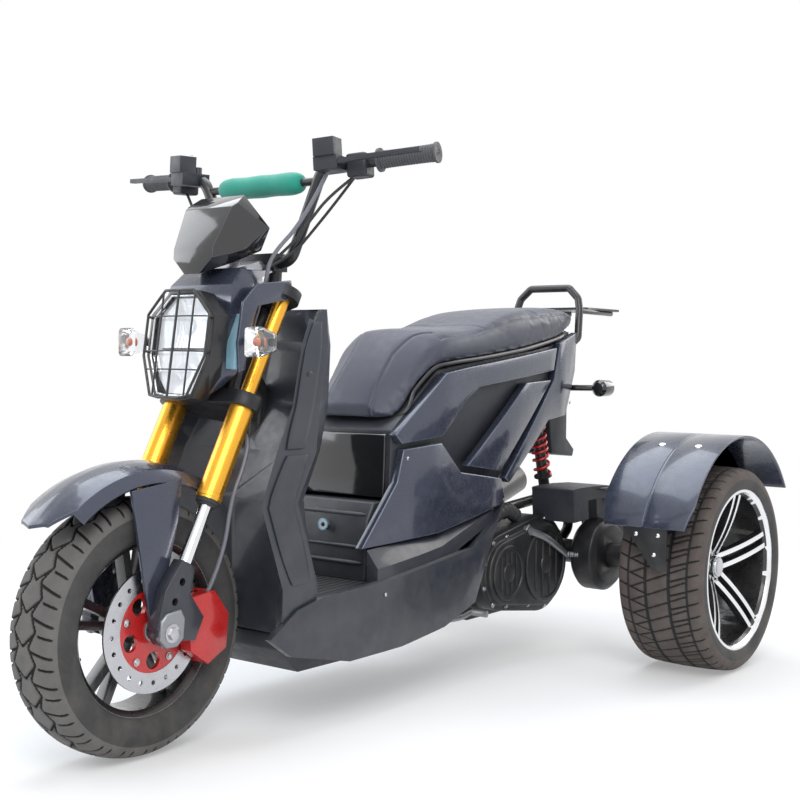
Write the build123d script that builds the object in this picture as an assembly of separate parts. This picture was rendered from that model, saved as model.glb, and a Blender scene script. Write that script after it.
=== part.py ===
from build123d import *
import os
from math import cos, pi, radians, sin, tan

# Three-wheeled step-through scooter with a raked telescopic fork, a hinged seat and two wide rear wheels.
# Lengths are millimetres. +X is the rider's left, -Y is forward and +Z is up. While the pieces are made,
# y runs from the front axle; save() then moves the row to the middle of its own length.
# A name that ends in share or shares holds a ratio: the rest are lengths or angles.

os.makedirs("parts", exist_ok=True)

# Stance
WHEELBASE = 1350.0
REAR_TRACK = 1016.0
SEAT_HEIGHT = 800.0
FLOOR_WIDTH = 380.0
RACK_LENGTH = 205.0

# Body grid: stations along the length and levels up, both in steps of GRID, and lines across.
# A longer wheelbase stretches the floor between the knees and the seat, and a higher seat lifts
# what stands above the engine: along() and rise() share those two changes out.
GRID = 100.0
WHEELBASE_SHARE = 13.5
SEAT_SHARE = 8.0
LINE_SHARE = 1 / 3.8
LINE = FLOOR_WIDTH * LINE_SHARE
STRETCH = WHEELBASE - GRID * WHEELBASE_SHARE
LIFT = SEAT_HEIGHT - GRID * SEAT_SHARE
STRETCH_STATION_SHARES = (4.2, 5.0)
LIFT_STATION_SHARES = (4.4, 5.0)
LIFT_LEVEL_SHARES = (4.3, 5.5)

# Common fits
OVERRUN = 5.0
SEAM = 1.5
RUN_CLEARANCE = 0.05

# Front wheel
FRONT_TYRE_RADIUS = 238.0
FRONT_TYRE_HALF = 61.0
FRONT_SHOULDER_HALF = 52.0
FRONT_SHOULDER_DROP = 11.0
FRONT_BEAD_RADIUS = 155.0
FRONT_BEAD_HALF = 42.0
FRONT_LIP_RADIUS = 165.0
FRONT_LIP = 5.0
FRONT_BARREL_WALL = 6.0
FRONT_SPOKES = 5
FRONT_SPOKE_WIDTH = 16.0
FRONT_SPOKE_DEPTH = 26.0
FRONT_HUB_RADIUS = 34.0
FRONT_HUB_HALF = 52.0
FRONT_AXLE_RADIUS = 10.0
DISC_RADIUS = 115.0
DISC_INNER_RADIUS = 78.0
DISC_PLANE = 60.0
DISC_THICKNESS = 4.0
DISC_HOLES = 20
DISC_HOLE_RADIUS = 4.5
CARRIER_THICKNESS = 5.0
CARRIER_WINDOW_RADIUS = 16.0
CARRIER_WINDOW_PLACE = 56.0

# Rear wheels
REAR_TYRE_RADIUS = 243.0
REAR_TYRE_HALF = 105.0
REAR_SHOULDER_HALF = 94.0
REAR_SHOULDER_DROP = 8.0
REAR_BEAD_RADIUS = 180.0
REAR_BEAD_HALF = 92.0
REAR_LIP_RADIUS = 192.0
REAR_LIP = 8.0
REAR_BARREL_WALL = 6.0
REAR_SPOKE_PAIRS = 5
REAR_SPOKE_WIDTH = 12.0
REAR_SPOKE_SPREAD = 30.0
REAR_SPOKE_DEPTH = 20.0
REAR_HUB_RADIUS = 46.0
REAR_HUB_FACE = 28.0
REAR_HUB_BACK = 48.0
REAR_SPOKE_TIP = 88.0
REAR_HUB_CAP_RADIUS = 26.0
REAR_HUB_CAP = 12.0
REAR_AXLE_RADIUS = 15.0
REAR_BORE_DEPTH = 60.0
AXLE_END_GAP = 3.0

# Fork: its own axes run from the front axle, across, back and up the legs
RAKE = 27.5
LEG_SPACING = 184.0
LEG_LEAD = 13.0
STEM_BACK = 22.0
SLEEVE_RADIUS = 24.0
SLEEVE_FOOT = 252.0
STEER_ANGLE = 30.0
TURN_SHARES = (-1, -0.75, -0.5, 0.5, 0.75, 1)
TURN_GAP = 6.0
LOWER_YOKE = 440.0
LOWER_YOKE_DEPTH = 28.0
UPPER_TUBE_RADIUS = 15.0
UPPER_YOKE = 680.0
UPPER_YOKE_DEPTH = 22.0
STANCHION_RADIUS = 13.0
STANCHION_FOOT = 128.0
YOKE_BOSS_RADIUS = 33.0
STEM_RADIUS = 13.0
HEAD_TUBE_RADIUS = 24.0
HEAD_GAP = 1.0
LOWER_LEG_WIDTH = 26.0
AXLE_LUG_RADIUS = 27.0
LOWER_LEG_HOLE_RADIUS = 7.0
# back and up from the leg's own line, as shares of the stanchion foot's height
LOWER_LEG_SHARES = [
    (-0.14, 1.00), (0.14, 1.00), (0.22, 0.62), (0.62, 0.42), (0.62, 0.06), (0.16, -0.10),
    (-0.14, -0.04), (-0.24, 0.50),
]

# Handlebar
BAR_RADIUS = 12.0
BAR_LOW_Y = 344.0
BAR_LOW_Z = 925.0
BAR_LOW_HALF = 75.0
BAR_TOP_HALF = 165.0
BAR_TOP_Y = 337.0
BAR_TOP_Z = 1105.0
BAR_END_HALF = 400.0
BAR_END_Y = 396.0
BAR_END_Z = 1122.0
BAR_BEND = 38.0
CROSSBAR_RADIUS = 8.0
CROSSBAR_Z = 1080.0
PAD_RADIUS = 24.0
PAD_HALF = 112.0
PAD_ROUND = 4.8
GRIP_RADIUS = 17.0
GRIP_LENGTH = 122.0
GRIP_FLANGE_RADIUS = 22.0
GRIP_FLANGE = 5.0
SWITCH_WIDTH = 42.0
SWITCH_HEIGHT = 46.0
SWITCH_DEPTH = 44.0
SWITCH_REACH_SHARE = 0.33
SWITCH_DROP = 6.0
MASTER_REACH_SHARE = 0.12
MASTER_WIDTH = 50.0
MASTER_DEPTH = 46.0
MASTER_HEIGHT = 26.0
MASTER_LEAD = 18.0
RESERVOIR_WIDTH = 44.0
RESERVOIR_DEPTH = 38.0
RESERVOIR_HEIGHT = 34.0
MIRROR_BOSS_RADIUS = 9.0
MIRROR_BOSS_HEIGHT = 16.0
MIRROR_HOLE_RADIUS = 5.0
MIRROR_HOLE_DEPTH = 14.0
LEVER_WIDTH = 12.0
LEVER_THICKNESS = 9.0
LEVER_LEAD = 52.0
LEVER_ROOT_SHARE = 0.16
LEVER_TIP_SHARE = 0.94
LEVER_BEND_SHARE = 1 / 3
LEVER_NEAR_SHARE = 0.75
BAR_CLAMP_WIDTH = 96.0
BAR_CLAMP_DEPTH = 40.0
BAR_CLAMP_HEIGHT = 36.0
RISER_WIDTH = 30.0

# Headlamp and meter, on the steering
LAMP_Y = 100.0
LAMP_LOW = 652.0
LAMP_HIGH = 862.0
LAMP_HALF = 87.0
LAMP_TILT_SHARE = 0.15
LAMP_BEZEL = 12.0
LENS_THICKNESS = 8.0
GRILLE_BAR = 6.0
GRILLE_STANDOFF = 12.0
LAMP_OUTLINE_SHARES = [
    (-0.30, 0.00), (0.30, 0.00), (0.60, 0.02), (1.00, 0.40), (1.00, 0.78), (0.46, 1.00),
    (-0.46, 1.00), (-1.00, 0.78), (-1.00, 0.40), (-0.60, 0.02),
]
# Outlines of the cowl and of the visor: side (y, z), front (x, z) and plan (x, y)
COWL_SIDE_SHARES = [
    (1.36, 6.56), (1.70, 8.72), (2.05, 9.06), (2.95, 9.26), (2.92, 9.02), (2.60, 8.90), (2.50, 8.35),
    (2.10, 7.50), (1.64, 6.80),
]
COWL_FRONT_SHARES = [(0.34, 9.30), (0.74, 9.04), (0.90, 8.50), (0.90, 7.02), (0.46, 6.50)]
COWL_PLAN_SHARES = [(0.84, 1.30), (0.90, 1.90), (0.74, 3.00)]
VISOR_SIDE_SHARES = [
    (1.90, 10.22), (1.50, 9.42), (1.46, 8.92), (2.10, 9.16), (2.62, 9.42), (2.66, 9.86), (2.28, 10.48),
]
VISOR_FRONT_SHARES = [(0.58, 10.50), (0.92, 9.85), (0.72, 9.40), (0.16, 8.88)]
VISOR_PLAN_SHARES = [(0.52, 1.44), (0.64, 1.90), (0.94, 2.68)]
BEZEL_DEPTH = 40.0
WELL_DEPTH = 30.0
LENS_SETBACK = 5.0
GRILLE_UPRIGHT_SHARES = (-0.5, 0.5)
GRILLE_LEVEL_SHARES = (0.28, 0.62)
GRILLE_FOOT_SHARES = (0.42, 0.76)
ARM_X = 108.0
ARM_WALL = 6.0
ARM_SHARES = [
    (3.05, 8.86), (2.10, 8.74), (1.72, 8.38), (1.58, 7.60), (1.62, 7.05), (1.78, 7.10),
    (1.86, 7.80), (2.12, 8.32),
    (3.10, 8.50),
]
SIDE_LENS_SHARES = [(1.66, 7.10), (1.98, 8.10), (1.80, 8.16), (1.56, 7.60), (1.54, 7.12)]

# Front signal lamps
SIGNAL_X = 176.0
SIGNAL_Y = 160.0
SIGNAL_Z = 762.0
SIGNAL_HALF = 25.0
SIGNAL_HEIGHT = 56.0
SIGNAL_DEPTH = 44.0
SIGNAL_REAR_SHARE = 0.6
STALK_RADIUS = 8.0

# Front fender: radii from the front axle
FENDER_CREST = 305.0
FENDER_EDGE = 268.0
FENDER_HALF = 74.0
FENDER_WALL = 4.0
FENDER_FRONT_ANGLE = 146.0
FENDER_REAR_ANGLE = 62.0
# half section of the fender: x as a share of its half width, height as a share of its crown
FENDER_SECTION_SHARES = [
    (1.0, 0.0), (0.86, 0.62), (0.42, 0.90), (0.0, 1.0), (-0.42, 0.90), (-0.86, 0.62), (-1.0, 0.0),
]
# plan of the nose: x as a share of the half width, y as a share of the crest radius
FENDER_NOSE_SHARES = [
    (0.0, -0.74), (0.5, -0.70), (1.0, -0.52), (1.0, 0.60), (-1.0, 0.60), (-1.0, -0.52), (-0.5, -0.70),
]
STRUT_X = 72.0
STRUT_WALL = 7.0
STRUT_SHARES = [(-0.66, 4.95), (0.52, 5.10), (0.42, 4.30), (-0.02, 2.62), (-0.22, 2.55), (-0.42, 3.60)]

# Brake caliper and hose
CALIPER_SLOT = 14.0
CALIPER_OUTER = 28.0
CALIPER_INNER = 12.0
CALIPER_SHARES = [(0.52, 2.90), (1.20, 2.98), (1.58, 2.50), (1.52, 1.86), (1.05, 1.62), (0.62, 1.92)]
HOSE_RADIUS = 4.0
HOSE_BEND = 14.0
HOSE_ROUTE = [
    (190, 326, 1098), (150, 300, 1000), (96, 262, 930), (92, 256, 880), (66, 246, 790), (60, 236, 740),
    (56, 222, 700), (52, 205, 610), (100, 205, 585), (112, 180, 530), (112, 146, 470),
    (100, 138, 360), (84, 110, 290),
]

# Body shell
CORE_HALF = 128.0
PANEL_WALL = 20.0
# half widths in lines at the body's front, middle and rear
BODY_PLAN_SHARES = (1.34, 1.62, 1.08)
BODY_PLACE_SHARES = (5.0, 9.0, 14.4)
SKIRT_PLAN_SHARES = (1.72, 1.86, 1.60)
SKIRT_PLACE_SHARES = (1.6, 5.6, 10.2)
SKIRT_WALL = 16.0
LOWER_PANEL_SHARES = [
    (5.05, 3.36), (6.08, 4.70), (6.28, 5.40), (7.54, 5.49), (8.25, 4.80), (9.94, 4.55), (10.10, 4.10),
    (9.88, 3.92), (7.48, 3.49),
]
SLANT_PANEL_SHARES = [(8.50, 4.93), (9.90, 4.73), (12.50, 6.86), (11.12, 6.80)]
TRIM_SHARES = [
    (6.02, 5.72), (6.22, 5.52), (7.60, 5.64), (8.45, 6.43), (8.97, 6.72), (12.65, 7.10), (12.84, 7.68),
    (8.44, 7.16), (7.72, 7.05),
]
TAIL_SHARES = [
    (10.12, 4.55), (10.30, 4.42), (12.36, 5.85), (13.45, 5.94), (14.10, 7.10), (14.22, 8.10), (13.05, 7.80),
    (12.98, 7.66), (12.68, 6.88),
]
CORE_SHARES = [
    (6.05, 4.35), (8.60, 4.05), (10.20, 4.45), (12.30, 5.95), (13.40, 6.10), (14.00, 7.10), (14.10, 8.12),
    (12.84, 7.72), (8.44, 7.20), (7.72, 7.10), (6.10, 5.80),
]
BUCKET_HALF = 95.0
BUCKET_SHARES = (7.90, 5.60)
BUCKET_LENGTH = 420.0
SHOCK_WELL_INNER = 68.0
SHOCK_WELL = 150.0

# Seat: y in stations, bottom, shoulder and top in levels, half widths at bottom, shoulder and top in lines
SEAT_SECTION_SHARES = [
    (6.36, 6.02, 6.12, 6.24, 1.00, 1.04, 0.84),
    (7.00, 6.70, 7.30, 7.97, 1.22, 1.30, 0.84),
    (7.60, 7.22, 7.62, 8.01, 1.40, 1.42, 0.90),
    (8.44, 7.30, 7.72, 8.03, 1.48, 1.50, 0.94),
    (9.30, 7.40, 7.86, 8.22, 1.48, 1.50, 0.98),
    (11.2, 7.62, 8.14, 8.60, 1.42, 1.44, 0.96),
    (13.2, 7.93, 8.36, 8.73, 1.18, 1.22, 0.84),
    (14.6, 8.28, 8.48, 8.72, 0.76, 0.82, 0.62),
]

# Leg shield: level, then x and y of the front's middle, pocket, ridge, outer edge and back corner
SHIELD_SECTION_SHARES = [
    (2.00, 2.56, (1.30, 2.50), (1.66, 2.30), (1.66, 3.20), (1.40, 3.40)),
    (2.93, 2.60, (1.40, 2.45), (1.78, 2.18), (1.78, 3.18), (1.50, 3.36)),
    (4.57, 2.62, (1.40, 2.25), (1.76, 1.60), (1.76, 2.60), (1.50, 3.05)),
    (5.50, 3.00, (1.40, 2.62), (1.70, 2.05), (1.76, 3.12), (1.50, 3.52)),
    (6.40, 3.40, (1.40, 3.28), (1.51, 2.70), (1.60, 3.40), (1.42, 3.85)),
    (7.60, 3.75, (1.22, 3.60), (1.29, 3.20), (1.46, 3.80), (1.30, 4.05)),
    (8.32, 3.92, (1.06, 3.88), (1.12, 3.69), (1.26, 3.98), (1.12, 4.14)),
]
KNEE_WALL = 18.0
KNEE_DEPTH_SHARE = 0.2
# level, station of the rider's face of the shield
KNEE_SHARES = [(3.10, 3.34), (4.57, 3.05), (5.50, 3.52), (6.40, 3.85), (7.60, 4.05), (8.24, 4.12)]
KNEE_HALF_LOW_SHARE = 1.30
KNEE_HALF_HIGH_SHARE = 1.02

# Floor
FLOOR_SHARES = [(2.70, 2.52), (5.60, 2.62), (8.80, 2.94), (8.80, 2.74), (5.60, 2.42), (2.70, 2.32)]
SKIRT_SHARES = [
    (1.90, 2.02), (2.45, 1.62), (4.10, 1.26), (5.80, 1.28), (7.40, 1.44), (8.70, 1.80), (9.05, 2.40),
    (9.45, 3.10), (10.05, 4.02), (9.70, 3.60), (8.60, 3.06), (5.60, 2.76), (3.30, 2.66), (2.60, 2.50),
]
# station, inner height and outer height of the deck's sloping edge
FLANK_SHARES = [(5.15, 3.34, 2.74), (7.50, 3.46, 2.94), (9.80, 3.86, 3.66)]
FLANK_DEPTH_SHARE = 0.1
FLANK_INNER = 140.0
FLANK_OUTER = 190.0
BELLY_SHARES = [(2.70, 1.62), (3.30, 1.08), (7.00, 1.06), (8.40, 1.30), (8.40, 1.94), (2.70, 1.94)]
BELLY_HALF = 118.0
UPPER_BOX_SHARES = [(5.98, 4.36), (6.02, 5.70), (6.30, 5.86), (7.00, 5.86), (7.00, 4.36)]
STEP_BOX_SHARES = [(5.42, 2.58), (5.50, 3.90), (5.72, 4.28), (8.10, 4.28), (8.10, 2.80)]
UPPER_BOX_HALF = 116.0
STEP_BOX_HALF = 112.0
LOCK_RADIUS = 11.0
LOCK_PROUD = 6.0
LOCK_LEVEL_SHARE = 3.75

# Frame
DOWN_TUBE_RADIUS = 20.0
RAIL_RADIUS = 16.0
RAIL_HALF = 96.0
DOWN_TUBE_SHARES = [(2.83, 7.35), (3.36, 6.60), (3.28, 5.50), (2.83, 4.57), (3.00, 2.12)]
CARRIER_TUBE_RADIUS = 13.0
ARM_PATH_SHARES = [(8.40, 2.12), (8.68, 3.52), (13.00, 3.85), (14.40, 3.10)]
ARM_BEND = 28.0
AXLE_BEAM_RADIUS = 30.0
AXLE_FLANGE_SETBACK = 116.0
AXLE_BEAM_HALF = REAR_TRACK / 2 - AXLE_FLANGE_SETBACK
FLANGE_RADIUS = 62.0
FLANGE_WALL = 10.0

# Power unit
ENGINE_HALF = 84.0
ENGINE_SHARES = [
    (9.00, 1.70), (9.70, 1.10), (12.40, 1.12), (12.90, 1.90), (12.60, 3.20), (10.20, 3.40), (9.00, 2.90),
]
BELT_CASE_OUTER = 166.0
VARIATOR_RADIUS = 92.0
VARIATOR_SHARES = (10.18, 2.28)
CLUTCH_RADIUS = 119.0
CLUTCH_SHARES = (11.86, 2.31)
CASE_STEP = 14.0
CASE_STEP_INSET = 16.0
DRIVE_RADIUS = 90.0
DRIVE_INNER = 186.0
DRIVE_OUTER = 262.0
GUARD_RADIUS = 172.0
GUARD_WALL = 5.0
GUARD_INNER = 84.0
GUARD_OUTER = 252.0
GUARD_START_ANGLE = 12.0
GUARD_END_ANGLE = 98.0
MUFFLER_RADIUS = 42.0
MUFFLER_X = 160.0
MUFFLER_SHARES = [(10.90, 2.66), (15.50, 4.00)]
PIPE_RADIUS = 14.0
PIPE_SHARES = (10.10, 1.60)

# Shock absorbers
SHOCK_X = 96.0
SHOCK_FOOT_SHARES = (13.00, 3.85)
SHOCK_HEAD_SHARES = (12.32, 6.40)
SHOCK_BODY_RADIUS = 14.0
SPRING_RADIUS = 23.0
SPRING_START_SHARE = 0.22
SPRING_END_SHARE = 0.80
SPRING_SEAT = 5.0

# Tail
RAIL_TUBE_RADIUS = 10.0
GRAB_SHARES = [
    (0.96, 13.60, 7.50), (1.06, 14.36, 7.96), (0.98, 14.56, 8.72), (0.90, 14.62, 9.02), (0.60, 14.66, 9.30),
]
GRAB_BEND = 16.0
RACK_SHARES = (15.00, 8.74)
RACK_THICKNESS = 6.0
RACK_HALF = 90.0
RACK_HOLE_RADIUS = 4.5
RACK_HOLE_X = 120.0
RACK_HOLE_Y = 130.0
RACK_CORNER = 18.0
RACK_BAR_RADIUS = 7.0
RACK_BAR_HALF = 66.0
TAIL_LAMP_HALF = 80.0
TAIL_LAMP_HEIGHT = 56.0
TAIL_LAMP_DEPTH = 26.0
TAIL_LAMP_SHARES = (14.18, 7.52)
PLATE_SHARES = [
    (13.30, 6.05), (13.96, 6.95), (14.22, 6.95), (14.22, 5.30), (14.62, 4.98), (14.55, 4.80), (13.50, 4.92),
]
PLATE_HALF = 84.0
REAR_SIGNAL_X = 176.0
REAR_SIGNAL_SHARES = (14.50, 6.64)
REAR_SIGNAL_RADIUS = 22.0
REAR_SIGNAL_LENGTH = 58.0
REAR_SIGNAL_ROOT = 80.0

# Wheel fenders: radii from the rear axle
ARCH_RADIUS = 319.0
ARCH_WALL = 4.0
ARCH_WIDTH = 226.0
ARCH_OVERHANG = 104.0
ARCH_OUTER = REAR_TRACK / 2 + ARCH_OVERHANG
ARCH_INNER = ARCH_OUTER - ARCH_WIDTH
ARCH_FRONT_ANGLE = 158.0
ARCH_REAR_ANGLE = 34.0
ARCH_SEAM_WIDTH = 7.0
ARCH_SEAM_DEPTH = 1.5
ARCH_SEAM_SHARE = 0.5
# plan of the arch: x as a share of its width, y from the axle as a share of its radius
ARCH_PLAN_SHARES = [(0.0, -0.84), (0.12, -1.0), (0.88, -1.0), (1.0, -0.84), (1.0, 1.0), (0.0, 1.0)]
BRACKET_WIDTH = 36.0
BRACKET_WALL = 6.0
BRACKET_ANGLES = (60.0, 128.0)


def ramp(value, ends):
    """0 before the first end, 1 after the second and straight between them."""
    start, end = ends
    return min(max((value - start) / (end - start), 0), 1)


def along(station):
    """A station's distance behind the front axle."""
    return GRID * station + STRETCH * ramp(station, STRETCH_STATION_SHARES)


def rise(level, station):
    """A level's height at a station."""
    return GRID * level + LIFT * ramp(station, LIFT_STATION_SHARES) * ramp(level, LIFT_LEVEL_SHARES)


def place(pair):
    """A station and level as y and z."""
    station, level = pair
    return along(station), rise(level, station)


RAIL_Z = place(ARM_PATH_SHARES[0])[1]
BUCKET_FRONT, BUCKET_FLOOR = place(BUCKET_SHARES)
SHOCK_FOOT_Y, SHOCK_FOOT_Z = place(SHOCK_FOOT_SHARES)
SHOCK_HEAD_Y, SHOCK_HEAD_Z = place(SHOCK_HEAD_SHARES)
VARIATOR_Y, VARIATOR_Z = place(VARIATOR_SHARES)
CLUTCH_Y, CLUTCH_Z = place(CLUTCH_SHARES)
PIPE_Y, PIPE_Z = place(PIPE_SHARES)
LOCK_Y, LOCK_Z = place((STEP_BOX_SHARES[0][0], LOCK_LEVEL_SHARE))
TAIL_LAMP_Y, TAIL_LAMP_Z = place(TAIL_LAMP_SHARES)
REAR_SIGNAL_Y, REAR_SIGNAL_Z = place(REAR_SIGNAL_SHARES)
RACK_FRONT, RACK_Z = place(RACK_SHARES)
RACK_END = RACK_FRONT + RACK_LENGTH
CENTRE_Y = (RACK_END - FRONT_TYRE_RADIUS) / 2
FRONT_HUB = (0, 0, FRONT_TYRE_RADIUS)
REAR_HUB = (REAR_TRACK / 2, WHEELBASE, REAR_TYRE_RADIUS)
FORK = Plane(origin=FRONT_HUB, x_dir=(1, 0, 0), z_dir=(0, sin(radians(RAKE)), cos(radians(RAKE))))
STEM_AT = FORK * Pos(0, STEM_BACK, 0)


def save(name, *shapes):
    """Write one node: the shapes are its solids."""
    solids = [solid for shape in shapes for solid in shape.solids()]
    node = Compound(children=[Pos(0, -CENTRE_Y, 0) * solid for solid in solids])
    export_step(node, f"parts/{name}.step")


def both(shape):
    """The shape and its mirror image on the other side of the middle plane."""
    return [shape, mirror(shape, about=Plane.YZ)]


def side_points(shares):
    """Grid pairs (station, level) as lengths."""
    return [place(pair) for pair in shares]


def side_prism(shares, low, high):
    """A prism across the vehicle from x = low to x = high on a side outline."""
    outline = Plane.YZ.offset(low) * Polygon(*side_points(shares), align=None)
    return extrude(outline, amount=high - low, dir=(1, 0, 0))


def plan_prism(shares, places, inset=0):
    """A tall prism whose half width follows one arc through three stations."""
    front, middle, rear = (LINE * share - inset for share in shares)
    y0, y1, y2 = (along(station) for station in places)
    arc = ThreePointArc((front, y0), (middle, y1), (rear, y2))
    sides = Polyline((rear, y2), (-rear, y2))
    back = ThreePointArc((-rear, y2), (-middle, y1), (-front, y0))
    face = make_face([arc, sides, back, Line((-front, y0), (front, y0))])
    return extrude(face, amount=SEAT_HEIGHT + FLOOR_WIDTH, dir=(0, 0, 1))


def panel(shares, plan, places, wall):
    """Left-hand panel of one thickness that follows the plan's curve."""
    shell = plan_prism(plan, places) - plan_prism(plan, places, wall)
    return side_prism(shares, 0, FLOOR_WIDTH) & shell


def tube(points, radius, bends):
    """A bent round tube through the points."""
    path = FilletPolyline(*points, radius=bends) if len(points) > 2 else Line(*points)
    section = Plane(origin=path @ 0, z_dir=path % 0) * Circle(radius)
    return sweep(section, path=path)


def rod(start, end, radius):
    """A straight round rod between two points."""
    line = Line(start, end)
    return extrude(Plane(origin=start, z_dir=line % 0) * Circle(radius), amount=line.length)


def ring(profile):
    """A profile of (x, radius) turned about the wheel's own axis."""
    return revolve(make_face(profile), Axis.X)


def disc(radius, low, high):
    """A round plate about the wheel's own axis from x = low to x = high."""
    return Plane.YZ.offset(low) * Cylinder(radius, high - low, align=(Align.CENTER, Align.CENTER, Align.MIN))


def tyre(radius, half, shoulder, drop, bead_radius, bead_half, lip_radius):
    """Tyre ring about the x axis; its beads sit between the rim's lips."""
    edge = lip_radius + SEAM
    middle = (edge + radius - drop) / 2
    wall = ThreePointArc((bead_half, edge), (half, middle), (shoulder, radius - drop))
    crown = ThreePointArc((shoulder, radius - drop), (0, radius), (-shoulder, radius - drop))
    far_wall = ThreePointArc((-shoulder, radius - drop), (-half, middle), (-bead_half, edge))
    corners = [(-bead_half, edge), (-bead_half, bead_radius), (bead_half, bead_radius), (bead_half, edge)]
    seat = Polyline(*corners)
    return ring([wall, crown, far_wall, seat])


def barrel(bead_radius, bead_half, lip_radius, lip, wall):
    """Rim barrel with a lip at each side."""
    outer = bead_half + lip
    inside = bead_radius - wall
    points = [
        (-outer, lip_radius), (-bead_half, lip_radius), (-bead_half, bead_radius), (bead_half, bead_radius),
        (bead_half, lip_radius), (outer, lip_radius), (outer, lip_radius - lip), (bead_half - lip, inside),
        (lip - bead_half, inside), (-outer, lip_radius - lip),
    ]
    return ring([Polyline(*points, close=True)])


def front_rim():
    """Front rim: barrel, five forked spokes and a hub with a running bore."""
    rim = barrel(FRONT_BEAD_RADIUS, FRONT_BEAD_HALF, FRONT_LIP_RADIUS, FRONT_LIP, FRONT_BARREL_WALL)
    reach = FRONT_BEAD_RADIUS - FRONT_BARREL_WALL / 2
    spoke = Pos(0, 0, reach / 2) * Box(FRONT_SPOKE_DEPTH, FRONT_SPOKE_WIDTH, reach)
    fork_angle = 360 / FRONT_SPOKES / 4
    for place in range(FRONT_SPOKES):
        for lean in (-fork_angle / 2, fork_angle / 2):
            rim += Rot(X=place * 360 / FRONT_SPOKES + lean) * spoke
    rim += disc(FRONT_HUB_RADIUS, -FRONT_HUB_HALF, FRONT_HUB_HALF)
    bore = FRONT_AXLE_RADIUS + RUN_CLEARANCE
    rim -= disc(bore, -FRONT_HUB_HALF - OVERRUN, FRONT_HUB_HALF + OVERRUN)
    return rim


def brake_disc():
    """Drilled disc and its carrier, bolted to the hub's left end."""
    low, high = DISC_PLANE - DISC_THICKNESS / 2, DISC_PLANE + DISC_THICKNESS / 2
    plate = disc(DISC_RADIUS, low, high) - disc(DISC_INNER_RADIUS, low - OVERRUN, high + OVERRUN)
    middle = (DISC_RADIUS + DISC_INNER_RADIUS) / 2
    hole = Pos(0, 0, middle) * disc(DISC_HOLE_RADIUS, low - OVERRUN, high + OVERRUN)
    for place in range(DISC_HOLES):
        plate -= Rot(X=place * 360 / DISC_HOLES) * hole
    return plate


def disc_carrier():
    """Windowed plate that carries the disc on the hub."""
    back = FRONT_HUB_HALF
    plate = disc(DISC_INNER_RADIUS, back, back + CARRIER_THICKNESS + DISC_THICKNESS)
    window = Pos(0, 0, CARRIER_WINDOW_PLACE) * disc(CARRIER_WINDOW_RADIUS, back - OVERRUN, back + DISC_PLANE)
    for place in range(FRONT_SPOKES):
        plate -= Rot(X=(place + 0.5) * 360 / FRONT_SPOKES) * window
    bore = FRONT_AXLE_RADIUS + RUN_CLEARANCE
    return plate - disc(bore, back - OVERRUN, back + DISC_PLANE)


def rear_rim():
    """Left rear rim: deep barrel, twin curved spokes and a blind hub."""
    rim = barrel(REAR_BEAD_RADIUS, REAR_BEAD_HALF, REAR_LIP_RADIUS, REAR_LIP, REAR_BARREL_WALL)
    tip = REAR_BEAD_RADIUS - REAR_BARREL_WALL / 2
    root = REAR_HUB_RADIUS / 2
    middle = (tip + root) / 2
    bow = (REAR_SPOKE_TIP - REAR_HUB_FACE) * 0.64 + REAR_HUB_FACE
    front = ThreePointArc((REAR_HUB_FACE, root), (bow, middle), (REAR_SPOKE_TIP, tip))
    back = ThreePointArc(
        (REAR_SPOKE_TIP - REAR_SPOKE_DEPTH, tip), (bow - REAR_SPOKE_DEPTH, middle),
        (REAR_HUB_FACE - REAR_SPOKE_DEPTH, root),
    )
    outline = make_face([front, Line(front @ 1, back @ 0), back, Line(back @ 1, front @ 0)])
    spoke = extrude(outline, amount=REAR_SPOKE_WIDTH / 2, both=True)
    for place in range(REAR_SPOKE_PAIRS):
        for shift in (-REAR_SPOKE_SPREAD / 2, REAR_SPOKE_SPREAD / 2):
            rim += Rot(X=90 + place * 360 / REAR_SPOKE_PAIRS) * (Pos(0, 0, shift) * spoke)
    rim += disc(REAR_HUB_RADIUS, -REAR_HUB_BACK, REAR_HUB_FACE)
    rim += disc(REAR_HUB_CAP_RADIUS, REAR_HUB_FACE, REAR_HUB_FACE + REAR_HUB_CAP)
    rim -= disc(REAR_AXLE_RADIUS + RUN_CLEARANCE, -REAR_HUB_BACK - OVERRUN, REAR_BORE_DEPTH - REAR_HUB_BACK)
    return rim


def leg_rods(radius, low, high):
    """A round bar in each fork leg between two heights along it."""
    bar = Cylinder(radius, high - low, align=(Align.CENTER, Align.CENTER, Align.MIN))
    return [FORK * Pos(side * LEG_SPACING / 2, -LEG_LEAD, low) * bar for side in (1, -1)]


def fork_tubes():
    """Outer tubes: a thick sleeve below the lower yoke and a slim tube above it."""
    sleeves = leg_rods(SLEEVE_RADIUS, SLEEVE_FOOT, LOWER_YOKE)
    slims = leg_rods(UPPER_TUBE_RADIUS, LOWER_YOKE, UPPER_YOKE + UPPER_YOKE_DEPTH)
    return [sleeve + slim for sleeve, slim in zip(sleeves, slims)]


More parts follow.
